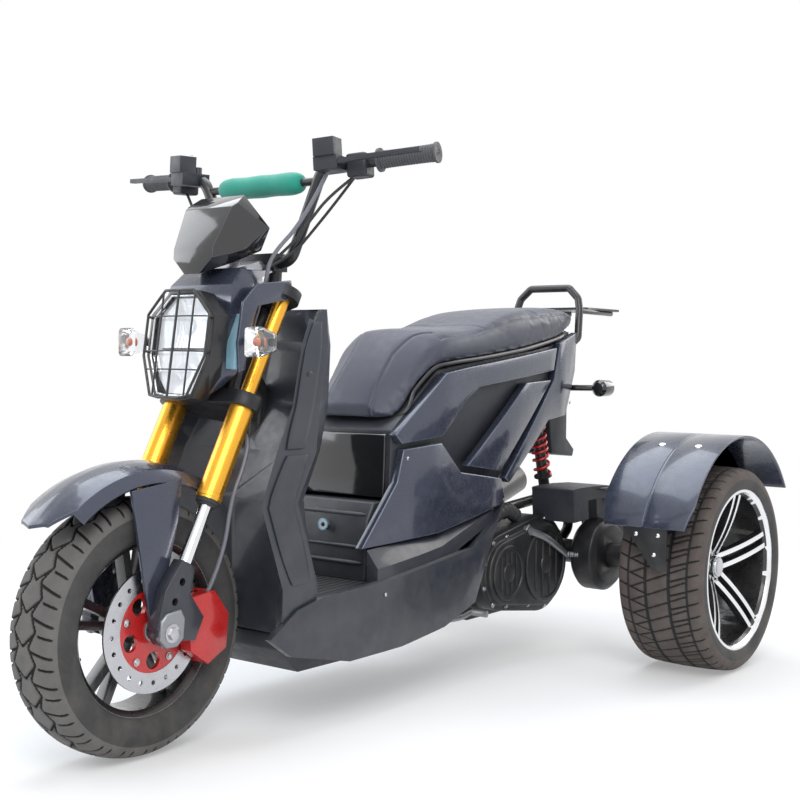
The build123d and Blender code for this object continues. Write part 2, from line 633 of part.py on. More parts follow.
def fork_lowers():
    """Cast leg ends with a hole each and the wheel's axle between them."""
    leg = []
    for back, up in LOWER_LEG_SHARES:
        leg.append((back * STANCHION_FOOT - LEG_LEAD, up * STANCHION_FOOT))
    plate = extrude(Plane.YZ * Polygon(*leg, align=None), amount=LOWER_LEG_WIDTH / 2, both=True)
    plate += Pos(-LOWER_LEG_WIDTH / 2, 0, 0) * disc(AXLE_LUG_RADIUS, 0, LOWER_LEG_WIDTH)
    hole = disc(LOWER_LEG_HOLE_RADIUS, -LOWER_LEG_WIDTH, LOWER_LEG_WIDTH)
    for share in (0.42, 0.72):
        plate -= Pos(0, -LEG_LEAD, share * STANCHION_FOOT) * hole
    plate &= Pos(0, 0, -STANCHION_FOOT) * Box(
        LOWER_LEG_WIDTH * 2, STANCHION_FOOT * 2, STANCHION_FOOT * 2,
        align=(Align.CENTER, Align.CENTER, Align.MIN),
    )
    ends = LEG_SPACING / 2 + LOWER_LEG_WIDTH / 2
    pieces = disc(FRONT_AXLE_RADIUS, -ends, ends)
    for side in (1, -1):
        pieces += Pos(side * LEG_SPACING / 2, 0, 0) * plate
    return FORK * pieces


def yoke(low, depth, stem):
    """Triple clamp: a plate hulled round both legs and the stem."""
    half = LEG_SPACING / 2
    rounds = Pos(half, -LEG_LEAD) * Circle(YOKE_BOSS_RADIUS)
    rounds += Pos(-half, -LEG_LEAD) * Circle(YOKE_BOSS_RADIUS)
    rounds += Pos(0, STEM_BACK) * Circle(YOKE_BOSS_RADIUS)
    plate = FORK * Pos(0, 0, low) * extrude(make_hull(rounds.edges()), amount=depth)
    for bar in leg_rods(UPPER_TUBE_RADIUS, low - OVERRUN, low + depth + OVERRUN):
        plate -= bar
    return plate + stem if stem else plate


def stem():
    """Steering stem between the yokes, inside the head tube."""
    low = LOWER_YOKE + LOWER_YOKE_DEPTH
    bar = Cylinder(STEM_RADIUS, UPPER_YOKE - low, align=(Align.CENTER, Align.CENTER, Align.MIN))
    return STEM_AT * Pos(0, 0, low) * bar


def bar_points(side):
    """Corners of one half of the handlebar, from the middle out."""
    return [
        (0, BAR_LOW_Y, BAR_LOW_Z),
        (side * BAR_LOW_HALF, BAR_LOW_Y, BAR_LOW_Z),
        (side * BAR_TOP_HALF, BAR_TOP_Y, BAR_TOP_Z),
        (side * BAR_END_HALF, BAR_END_Y, BAR_END_Z),
    ]


def on_bar(side, share):
    """Point on the straight outer run of the handlebar."""
    inner, outer = (Vector(*point) for point in bar_points(side)[-2:])
    return inner + (outer - inner) * share


def bar_frame(side, share):
    """Axes on the outer run: x along the bar outwards, z nearly up."""
    along = (on_bar(side, 1) - on_bar(side, 0)).normalized()
    level = Vector(0, 0, 1).cross(along).normalized()
    return Plane(origin=on_bar(side, share), x_dir=along, z_dir=along.cross(level))


def bar_tube(radius):
    """The whole bent bar at one radius."""
    points = bar_points(-1)[::-1] + bar_points(1)[1:]
    points = [point for point in points if point[0] != 0]
    return tube(points, radius, BAR_BEND)


def handlebar():
    """Raised handlebar with its crossbar."""
    rise = (CROSSBAR_Z - BAR_LOW_Z) / (BAR_TOP_Z - BAR_LOW_Z)
    reach = BAR_LOW_HALF + (BAR_TOP_HALF - BAR_LOW_HALF) * rise
    depth = BAR_LOW_Y + (BAR_TOP_Y - BAR_LOW_Y) * rise
    ends = (-reach, depth, CROSSBAR_Z), (reach, depth, CROSSBAR_Z)
    return bar_tube(BAR_RADIUS) + rod(*ends, CROSSBAR_RADIUS)


def bar_pad(bar):
    """Soft roll round the crossbar."""
    roll = Pos(0, BAR_TOP_Y, CROSSBAR_Z) * disc(PAD_RADIUS, -PAD_HALF, PAD_HALF)
    return fillet(roll.edges(), PAD_ROUND) - bar


def grip(side, bar):
    """Rubber grip with an inner flange, round the bar's end."""
    frame = bar_frame(side, 1)
    body = frame * disc(GRIP_RADIUS, -GRIP_LENGTH, OVERRUN)
    flange = frame * disc(GRIP_FLANGE_RADIUS, -GRIP_LENGTH - GRIP_FLANGE, -GRIP_LENGTH)
    return body + flange - bar


def hand_control(side, bar):
    """Switch box, master cylinder with reservoir, mirror boss and lever on one side."""
    frame = bar_frame(side, SWITCH_REACH_SHARE)
    box = frame * Pos(0, 0, -SWITCH_DROP) * Box(SWITCH_WIDTH, SWITCH_DEPTH, SWITCH_HEIGHT)
    box = fillet(box.edges(), SWITCH_DROP) - bar
    frame = bar_frame(side, MASTER_REACH_SHARE)
    lead = -side * MASTER_LEAD
    body = frame * Pos(0, lead, 0) * Box(MASTER_WIDTH, MASTER_DEPTH + MASTER_LEAD, MASTER_HEIGHT)
    up = (MASTER_HEIGHT + RESERVOIR_HEIGHT) / 2
    body += frame * Pos(0, lead * 2, up) * Box(RESERVOIR_WIDTH, RESERVOIR_DEPTH, RESERVOIR_HEIGHT)
    boss = Cylinder(MIRROR_BOSS_RADIUS, MIRROR_BOSS_HEIGHT, align=(Align.CENTER, Align.CENTER, Align.MIN))
    top = on_bar(side, MASTER_REACH_SHARE) + Vector(0, 0, MASTER_HEIGHT / 2 - SEAM)
    body += Pos(*top) * boss
    stand = (Align.CENTER, Align.CENTER, Align.MIN)
    hole = Cylinder(MIRROR_HOLE_RADIUS, MIRROR_HOLE_DEPTH + OVERRUN, align=stand)
    body -= Pos(*(top + Vector(0, 0, MIRROR_BOSS_HEIGHT - MIRROR_HOLE_DEPTH))) * hole
    blade = lever(side)
    return [box, body - bar + blade]


def lever(side):
    """Flat lever that runs outwards ahead of the grip."""
    frame = bar_frame(side, 0)
    length = (on_bar(side, 1) - on_bar(side, 0)).length
    root, tip = (length * share for share in (LEVER_ROOT_SHARE, LEVER_TIP_SHARE))
    lead = -side * LEVER_LEAD
    bend = root + (tip - root) * LEVER_BEND_SHARE
    line = [(root, lead * LEVER_NEAR_SHARE), (bend, lead), (tip, lead)]
    outline = [(x, y - LEVER_WIDTH / 2) for x, y in line] + [(x, y + LEVER_WIDTH / 2) for x, y in line[::-1]]
    return frame * extrude(Polygon(*outline, align=None), amount=LEVER_THICKNESS / 2, both=True)


def upper_yoke(bar):
    """Upper clamp with the risers that hold the handlebar."""
    clamp = yoke(UPPER_YOKE, UPPER_YOKE_DEPTH, None)
    head = Pos(0, BAR_LOW_Y, BAR_LOW_Z) * Box(BAR_CLAMP_WIDTH, BAR_CLAMP_DEPTH, BAR_CLAMP_HEIGHT)
    top = FORK.from_local_coords(Vector(0, STEM_BACK, UPPER_YOKE + UPPER_YOKE_DEPTH / 2))
    for side in (1, -1):
        x = side * (BAR_CLAMP_WIDTH - RISER_WIDTH) / 2
        head += rod((x, top.Y, top.Z), (x, BAR_LOW_Y, BAR_LOW_Z), RISER_WIDTH / 2)
    return clamp + (head - bar - bar_tube(BAR_RADIUS))


def lamp_plane(depth):
    """Plane of the headlamp's face, tilted back with height, moved back by depth."""
    low = (0, LAMP_Y + depth, LAMP_LOW)
    return Plane(origin=low, x_dir=(1, 0, 0), z_dir=(0, -1, LAMP_TILT_SHARE))


def lamp_outline(inset=0):
    """Octagon of the headlamp in its own plane."""
    height = LAMP_HIGH - LAMP_LOW
    points = [(x * LAMP_HALF, y * height) for x, y in LAMP_OUTLINE_SHARES]
    face = Polygon(*points, align=None)
    return offset(face, -inset, kind=Kind.INTERSECTION) if inset else face


def cross_prism(side, front, plan):
    """What three outlines share: side (y, z), and left halves of front (x, z) and plan (x, y)."""
    half = side_prism(side, 0, FLOOR_WIDTH)
    corners = [(x * LINE, z * GRID) for x, z in front]
    face = Polygon((0, corners[0][1]), *corners, (0, corners[-1][1]), align=None)
    half &= extrude(Plane.XZ * face, amount=WHEELBASE, both=True)
    corners = [(x * LINE, along(y)) for x, y in plan]
    base = Polygon((0, corners[0][1]), *corners, (0, corners[-1][1]), align=None)
    half &= extrude(base, amount=SEAT_HEIGHT + REAR_TRACK, dir=(0, 0, 1))
    return half + mirror(half, about=Plane.YZ)


def headlamp_shell():
    """Cowl, with the lamp's bezel standing out in front of it."""
    cowl = cross_prism(COWL_SIDE_SHARES, COWL_FRONT_SHARES, COWL_PLAN_SHARES)
    bezel = lamp_plane(0) * extrude(lamp_outline(), amount=-BEZEL_DEPTH)
    well = lamp_plane(0) * extrude(lamp_outline(LAMP_BEZEL), amount=-WELL_DEPTH)
    return cowl + bezel - well


def headlamp_lens():
    """Clear cover in the mouth of the bezel."""
    lens = extrude(lamp_outline(LAMP_BEZEL), amount=-LENS_THICKNESS)
    return lamp_plane(0) * Pos(0, 0, -LENS_SETBACK) * lens


def headlamp_grille():
    """Guard in front of the lamp: a frame, upright and level bars, and feet on the bezel."""
    frame = extrude(lamp_outline() - lamp_outline(GRILLE_BAR), amount=GRILLE_BAR)
    height = LAMP_HIGH - LAMP_LOW
    bars = Pos(0, height / 2) * Rectangle(GRILLE_BAR, height)
    for share in GRILLE_UPRIGHT_SHARES:
        bars += Pos(share * LAMP_HALF, height / 2) * Rectangle(GRILLE_BAR, height)
    for share in GRILLE_LEVEL_SHARES:
        bars += Pos(0, share * height) * Rectangle(2 * LAMP_HALF, GRILLE_BAR)
    guard = Pos(0, 0, GRILLE_STANDOFF) * (frame + extrude(bars & lamp_outline(), amount=GRILLE_BAR))
    foot = Box(GRILLE_BAR, GRILLE_BAR, GRILLE_STANDOFF, align=(Align.CENTER, Align.CENTER, Align.MIN))
    for x in (1, -1):
        for share in GRILLE_FOOT_SHARES:
            guard += Pos(x * (LAMP_HALF - GRILLE_BAR / 2), share * height, 0) * foot
    return lamp_plane(0) * guard


def lamp_arms(solid):
    """Curved plates from the upper yoke forward to the cowl's sides."""
    return both(side_prism(ARM_SHARES, ARM_X, ARM_X + ARM_WALL) - solid)


def side_lenses(solid):
    """Slim position lenses between the arms and the cowl."""
    return both(side_prism(SIDE_LENS_SHARES, LAMP_HALF - LAMP_BEZEL, ARM_X) - solid)


def front_signals(solid):
    """Tapered signal lamps on stalks from the fork legs."""
    face = Plane(origin=(SIGNAL_X, SIGNAL_Y - SIGNAL_DEPTH / 2, SIGNAL_Z), x_dir=(1, 0, 0), z_dir=(0, 1, 0))
    rear = Plane(origin=(SIGNAL_X, SIGNAL_Y + SIGNAL_DEPTH / 2, SIGNAL_Z), x_dir=(1, 0, 0), z_dir=(0, 1, 0))
    small = SIGNAL_REAR_SHARE
    lamp = loft([
        face * RectangleRounded(2 * SIGNAL_HALF, SIGNAL_HEIGHT, STALK_RADIUS),
        rear * RectangleRounded(2 * SIGNAL_HALF * small, SIGNAL_HEIGHT * small, STALK_RADIUS * small),
    ])
    leg_y = (SIGNAL_Z - FRONT_TYRE_RADIUS) * tan(radians(RAKE)) - LEG_LEAD / cos(radians(RAKE))
    stalk = rod((LEG_SPACING / 2, leg_y, SIGNAL_Z), (SIGNAL_X, SIGNAL_Y, SIGNAL_Z), STALK_RADIUS)
    return both(lamp + stalk - solid)


def front_fender():
    """Arched fender over the front tyre with a beaked nose."""
    rise_over = FENDER_CREST - FENDER_EDGE
    outer = [(x * FENDER_HALF, FENDER_EDGE + r * rise_over) for x, r in FENDER_SECTION_SHARES]
    inner = [(x * (1 - FENDER_WALL / FENDER_HALF), r - FENDER_WALL) for x, r in outer]
    section = Polygon(*outer, *inner[::-1], align=None)
    arch = revolve(section, Axis.X, revolution_arc=FENDER_FRONT_ANGLE - FENDER_REAR_ANGLE)
    arch = Pos(*FRONT_HUB) * Rot(X=FENDER_REAR_ANGLE) * arch
    nose = Polygon(*[(x * FENDER_HALF, y * FENDER_CREST) for x, y in FENDER_NOSE_SHARES], align=None)
    arch &= extrude(nose, amount=SEAT_HEIGHT, dir=(0, 0, 1))
    for sleeve in leg_rods(SLEEVE_RADIUS, 0, LOWER_YOKE):
        arch -= sleeve
    return max(arch.solids(), key=lambda solid: solid.volume)


def fender_struts(fender):
    """Side plates from the fender down to the fork's leg ends."""
    return both(side_prism(STRUT_SHARES, STRUT_X, STRUT_X + STRUT_WALL) - fender)


def brake_caliper(lowers, hose):
    """Caliper astride the disc, behind the left leg."""
    place = Pos(*FRONT_HUB)
    near, far = DISC_PLANE - CALIPER_SLOT / 2, DISC_PLANE + CALIPER_SLOT / 2
    inner = side_prism(CALIPER_SHARES, near - CALIPER_INNER, far)
    inner &= place * disc(FRONT_BEAD_RADIUS - CALIPER_SLOT, 0, FRONT_TYRE_RADIUS)
    slot = place * disc(DISC_RADIUS + CALIPER_SLOT / 2, near, far)
    slot += place * disc(DISC_INNER_RADIUS + CALIPER_SLOT / 2, near - CALIPER_SLOT / 2, far)
    return inner + side_prism(CALIPER_SHARES, far, far + CALIPER_OUTER) - slot - lowers - hose


def leg_shield(frame):
    """Front cover: level sections, pocketed in front for the fork and swept back at the knees."""
    sections = []
    for row in SHIELD_SECTION_SHARES:
        level, middle, *corners = row
        half = [(x * LINE, along(y)) for x, y in corners]
        other = [(-x, y) for x, y in half[::-1]]
        outline = [(0, along(middle))] + half + other
        sections.append(Plane.XY.offset(level * GRID) * Polygon(*outline, align=None))
    return loft(sections, ruled=True) - frame - turning_room()


def turning_room():
    """Space that the upper yoke sweeps as it steers, with a gap round it."""
    half = LEG_SPACING / 2
    radius = YOKE_BOSS_RADIUS + TURN_GAP
    rounds = Circle(radius)
    for x in (-half, half):
        rounds += Pos(x, -LEG_LEAD - STEM_BACK) * Circle(radius)
    plate = extrude(make_hull(rounds.edges()), amount=UPPER_YOKE_DEPTH + 2 * TURN_GAP)
    plate = Pos(0, 0, UPPER_YOKE - TURN_GAP) * plate
    room = Part()
    for share in TURN_SHARES:
        room += Rot(Z=share * STEER_ANGLE) * plate
    return STEM_AT * room


def knee_panel(shield, frame):
    """Dark inner panel on the rider's side of the leg shield."""
    front = [(y - KNEE_DEPTH_SHARE, z) for z, y in KNEE_SHARES]
    back = [(y + KNEE_WALL / GRID, z) for z, y in KNEE_SHARES[::-1]]
    half = KNEE_HALF_LOW_SHARE * LINE
    sheet = side_prism(front + back, -half, half)
    wide, slim = KNEE_HALF_LOW_SHARE * LINE, KNEE_HALF_HIGH_SHARE * LINE
    z0, z1 = KNEE_SHARES[0][0] * GRID, KNEE_SHARES[-1][0] * GRID
    waist = (z0 + z1) / 2
    right = [(wide, z0), (wide, waist), (slim, z1)]
    mask = Polygon(*right, *[(-x, z) for x, z in right[::-1]], align=None)
    return (sheet & extrude(Plane.XZ * mask, amount=WHEELBASE, both=True)) - shield - frame - turning_room()


def main_frame():
    """Head tube, down tube, floor rails and the arms that carry the rear axle."""
    low, high = LOWER_YOKE + LOWER_YOKE_DEPTH + HEAD_GAP, UPPER_YOKE - HEAD_GAP
    head = Cylinder(HEAD_TUBE_RADIUS, high - low, align=(Align.CENTER, Align.CENTER, Align.MIN))
    stand = (Align.CENTER, Align.CENTER, Align.MIN)
    bore = Cylinder(STEM_RADIUS + RUN_CLEARANCE, high - low + 2 * OVERRUN, align=stand)
    points = [(0, *place(pair)) for pair in DOWN_TUBE_SHARES]
    frame = tube(points, DOWN_TUBE_RADIUS, DOWN_TUBE_RADIUS)
    frame += STEM_AT * Pos(0, 0, low) * head
    foot = points[-1]
    frame += rod((-RAIL_HALF, foot[1], RAIL_Z), (RAIL_HALF, foot[1], RAIL_Z), RAIL_RADIUS)
    rail_end = along(ARM_PATH_SHARES[0][0]) + RAIL_RADIUS
    for side in (1, -1):
        x = side * RAIL_HALF
        frame += rod((x, foot[1], RAIL_Z), (x, rail_end, RAIL_Z), RAIL_RADIUS)
        arm = [(x, *place(pair)) for pair in ARM_PATH_SHARES] + [(x, WHEELBASE, REAR_TYRE_RADIUS)]
        frame += tube(arm, CARRIER_TUBE_RADIUS, ARM_BEND)
    frame -= STEM_AT * Pos(0, 0, low - OVERRUN) * bore
    beam = disc(AXLE_BEAM_RADIUS, -AXLE_BEAM_HALF, AXLE_BEAM_HALF)
    return frame - Pos(0, WHEELBASE, REAR_TYRE_RADIUS) * beam


def rear_axle():
    """Axle beam with an end flange and a stub shaft for each rear wheel."""
    shaft_end = REAR_TRACK / 2 - REAR_HUB_BACK + REAR_BORE_DEPTH - AXLE_END_GAP
    axle = disc(AXLE_BEAM_RADIUS, -AXLE_BEAM_HALF, AXLE_BEAM_HALF)
    axle += disc(REAR_AXLE_RADIUS, -shaft_end, shaft_end)
    for side in (1, -1):
        centre = side * (AXLE_BEAM_HALF - FLANGE_WALL / 2)
        axle += disc(FLANGE_RADIUS, centre - FLANGE_WALL / 2, centre + FLANGE_WALL / 2)
    return Pos(0, WHEELBASE, REAR_TYRE_RADIUS) * axle


def body_core():
    """Dark inner body under the seat, with the storage bucket and the wells for the shock absorbers."""
    core = side_prism(CORE_SHARES, -CORE_HALF, CORE_HALF)
    core = core & plan_prism(BODY_PLAN_SHARES, BODY_PLACE_SHARES, PANEL_WALL)
    bucket = Box(2 * BUCKET_HALF, BUCKET_LENGTH, SEAT_HEIGHT, align=(Align.CENTER, Align.MIN, Align.MIN))
    core -= Pos(0, BUCKET_FRONT, BUCKET_FLOOR) * bucket
    well = Box(CORE_HALF, SHOCK_WELL, SHOCK_HEAD_Z, align=(Align.MIN, Align.CENTER, Align.MIN))
    for piece in both(Pos(SHOCK_WELL_INNER, SHOCK_HEAD_Y, 0) * well):
        core -= piece
    return core


def seat():
    """Long two-step seat, lofted over stations."""
    sections = []
    for y, low, side, top, low_half, side_half, top_half in SEAT_SECTION_SHARES:
        row = [(low_half, low), (side_half, side), (top_half, top)]
        half = [(x * LINE, rise(z, y)) for x, z in row]
        outline = half + [(-x, z) for x, z in half[::-1]]
        plane = Plane(origin=(0, along(y), 0), x_dir=(1, 0, 0), z_dir=(0, -1, 0))
        sections.append(plane * Polygon(*outline, align=None))
    return loft(sections, ruled=True)


def side_skirts(floor, frame):
    """Lower side covers with the sloping edge of the foot deck."""
    skirt = panel(SKIRT_SHARES, SKIRT_PLAN_SHARES, SKIRT_PLACE_SHARES, SKIRT_WALL)
    sections = []
    for y, inner_z, outer_z in FLANK_SHARES:
        low = outer_z - FLANK_DEPTH_SHARE
        outline = [(FLANK_INNER, inner_z), (FLANK_OUTER, outer_z), (FLANK_OUTER, low), (FLANK_INNER, low)]
        outline = [(x, rise(z, y)) for x, z in outline]
        plane = Plane(origin=(0, along(y), 0), x_dir=(1, 0, 0), z_dir=(0, -1, 0))
        sections.append(plane * Polygon(*outline, align=None))
    flank = loft(sections, ruled=True) & plan_prism(SKIRT_PLAN_SHARES, SKIRT_PLACE_SHARES, SKIRT_WALL)
    return both(skirt + flank - floor - frame)


def belt_case():
    """Belt drive case: a hull round both pulleys with a raised cover and a kick lever."""
    wheels = [(VARIATOR_Y, VARIATOR_Z, VARIATOR_RADIUS), (CLUTCH_Y, CLUTCH_Z, CLUTCH_RADIUS)]
    def hull(inset):
        rounds = Sketch() + [Pos(y, z) * Circle(radius - inset) for y, z, radius in wheels]
        return make_hull(rounds.edges())
    body = extrude(Plane.YZ.offset(ENGINE_HALF) * hull(0), amount=BELT_CASE_OUTER - CASE_STEP - ENGINE_HALF)
    step = Plane.YZ.offset(ENGINE_HALF) * hull(CASE_STEP_INSET)
    body += extrude(step, amount=BELT_CASE_OUTER - ENGINE_HALF)
    return body


def exhaust():
    """Silencer on the right, fed by a bent pipe from the engine."""
    start, end = ((-MUFFLER_X, *place(pair)) for pair in MUFFLER_SHARES)
    can = rod(start, end, MUFFLER_RADIUS)
    route = [(-ENGINE_HALF, PIPE_Y, PIPE_Z), (-MUFFLER_X, PIPE_Y, PIPE_Z), start]
    pipe = tube(route, PIPE_RADIUS, MUFFLER_RADIUS)
    return can + pipe


def drive_housing(axle):
    """Round final-drive housing on the axle, left of the middle."""
    body = disc(DRIVE_RADIUS, DRIVE_INNER, DRIVE_OUTER)
    body = chamfer(body.edges(), CASE_STEP)
    return Pos(0, WHEELBASE, REAR_TYRE_RADIUS) * body - axle


def drive_guard(housing):
    """Splash guard over the final drive, with a web down to the housing."""
    section = Rectangle(GUARD_OUTER - GUARD_INNER, GUARD_WALL)
    shell = Pos((GUARD_INNER + GUARD_OUTER) / 2, GUARD_RADIUS - GUARD_WALL / 2) * section
    arch = revolve(shell, Axis.X, revolution_arc=GUARD_END_ANGLE - GUARD_START_ANGLE)
    web = Pos((DRIVE_INNER + DRIVE_OUTER) / 2, GUARD_RADIUS / 2) * Rectangle(GUARD_WALL, GUARD_RADIUS)
    arch += revolve(web, Axis.X, revolution_arc=GUARD_END_ANGLE - GUARD_START_ANGLE)
    arch = Pos(0, WHEELBASE, REAR_TYRE_RADIUS) * Rot(X=GUARD_START_ANGLE) * arch
    return arch - Pos(0, WHEELBASE, REAR_TYRE_RADIUS) * disc(DRIVE_RADIUS, 0, REAR_TRACK) - housing


def shock_line(share):
    """Point on the left shock absorber's axis."""
    foot, head = Vector(SHOCK_X, SHOCK_FOOT_Y, SHOCK_FOOT_Z), Vector(SHOCK_X, SHOCK_HEAD_Y, SHOCK_HEAD_Z)
    return foot + (head - foot) * share


def shocks(frame, core):
    """Dampers from the axle arms up to the body."""
    body = rod(shock_line(0), shock_line(1), SHOCK_BODY_RADIUS)
    for share in (SPRING_START_SHARE, SPRING_END_SHARE):
        edge = SPRING_SEAT if share == SPRING_END_SHARE else -SPRING_SEAT
        way = (shock_line(1) - shock_line(0)).normalized() * edge
        body += rod(shock_line(share), shock_line(share) + way, SPRING_RADIUS)
    return both(body - frame - core)


def springs():
    """Spring sleeves round the dampers."""
    sleeve = rod(shock_line(SPRING_START_SHARE), shock_line(SPRING_END_SHARE), SPRING_RADIUS)
    return both(sleeve - rod(shock_line(0), shock_line(1), SHOCK_BODY_RADIUS))


def grab_rail(solid):
    """Bent handle behind the seat."""
    half = [(x * LINE, along(y), rise(z, y)) for x, y, z in GRAB_SHARES]
    points = half + [(-x, y, z) for x, y, z in half[::-1]]
    rail = tube(points, RAIL_TUBE_RADIUS, GRAB_BEND) - solid
    return max(rail.solids(), key=lambda piece: piece.volume)


def luggage_rack(rail):
    """Drilled carrier plate on two bars from the grab rail."""
    plate = Box(2 * RACK_HALF, RACK_LENGTH, RACK_THICKNESS, align=(Align.CENTER, Align.MIN, Align.MIN))
    plate = fillet(plate.edges().filter_by(Axis.Z), RACK_CORNER)
    for x in (1, -1):
        for y in (1, -1):
            hole = Cylinder(RACK_HOLE_RADIUS, RACK_THICKNESS + 2 * OVERRUN)
            plate -= Pos(x * RACK_HOLE_X / 2, RACK_LENGTH / 2 + y * RACK_HOLE_Y / 2, 0) * hole
    rack = Pos(0, RACK_FRONT, RACK_Z) * plate
    low = RACK_Z - RACK_BAR_RADIUS + SEAM
    for side in (1, -1):
        start = (side * GRAB_SHARES[2][0] * LINE, along(GRAB_SHARES[2][1]), low)
        rack += rod(start, (side * RACK_BAR_HALF, RACK_END - RACK_CORNER, low), RACK_BAR_RADIUS)
    return rack - rail


def tail_lamp(core):
    """Wide lamp at the body's rear end."""
    lamp = Box(2 * TAIL_LAMP_HALF, 2 * TAIL_LAMP_DEPTH, TAIL_LAMP_HEIGHT)
    return Pos(0, TAIL_LAMP_Y, TAIL_LAMP_Z) * fillet(lamp.edges().filter_by(Axis.Y), STALK_RADIUS) - core


def rear_signals(solid):
    """Bullet lamps on stalks at the tail."""
    lamp = rod((REAR_SIGNAL_X, REAR_SIGNAL_Y - REAR_SIGNAL_LENGTH / 2, REAR_SIGNAL_Z),
               (REAR_SIGNAL_X, REAR_SIGNAL_Y + REAR_SIGNAL_LENGTH / 2, REAR_SIGNAL_Z), REAR_SIGNAL_RADIUS)
    lamp = chamfer(lamp.edges(), STALK_RADIUS)
    root = REAR_SIGNAL_ROOT, TAIL_LAMP_Y - REAR_SIGNAL_RADIUS, REAR_SIGNAL_Z
    stalk = rod(root, (REAR_SIGNAL_X, REAR_SIGNAL_Y, REAR_SIGNAL_Z), STALK_RADIUS)
    return both(lamp + stalk - solid)


def wheel_fender():
    """Left rear fender: a wide arch with a pressed seam and cut front corners."""
    shell = Pos((ARCH_OUTER + ARCH_INNER) / 2, ARCH_RADIUS - ARCH_WALL / 2) * Rectangle(ARCH_WIDTH, ARCH_WALL)
    seam = Rectangle(ARCH_SEAM_WIDTH, 2 * ARCH_SEAM_DEPTH)
    seam = Pos(ARCH_INNER + ARCH_WIDTH * ARCH_SEAM_SHARE, ARCH_RADIUS) * seam
    arch = revolve(shell - seam, Axis.X, revolution_arc=ARCH_FRONT_ANGLE - ARCH_REAR_ANGLE)
    arch = Pos(0, WHEELBASE, REAR_TYRE_RADIUS) * Rot(X=ARCH_REAR_ANGLE) * arch
    corners = [(ARCH_INNER + x * ARCH_WIDTH, WHEELBASE + y * ARCH_RADIUS) for x, y in ARCH_PLAN_SHARES]
    return arch & extrude(Polygon(*corners, align=None), amount=SEAT_HEIGHT, dir=(0, 0, 1))


def fender_bracket():
    """Flat arms from the left axle flange up to the fender."""
    reach = ARCH_RADIUS - ARCH_WALL
    arm = Box(BRACKET_WALL, BRACKET_WIDTH, reach, align=(Align.MAX, Align.CENTER, Align.MIN))
    arms = Part()
    for angle in BRACKET_ANGLES:
        arms += Rot(X=angle - 90) * (Pos(AXLE_BEAM_HALF + BRACKET_WALL, 0, 0) * arm)
    arms += disc(FLANGE_RADIUS, AXLE_BEAM_HALF, AXLE_BEAM_HALF + BRACKET_WALL)
    arms &= disc(reach, 0, REAR_TRACK)
    arms -= disc(REAR_AXLE_RADIUS, 0, REAR_TRACK)
    return Pos(0, WHEELBASE, REAR_TYRE_RADIUS) * arms


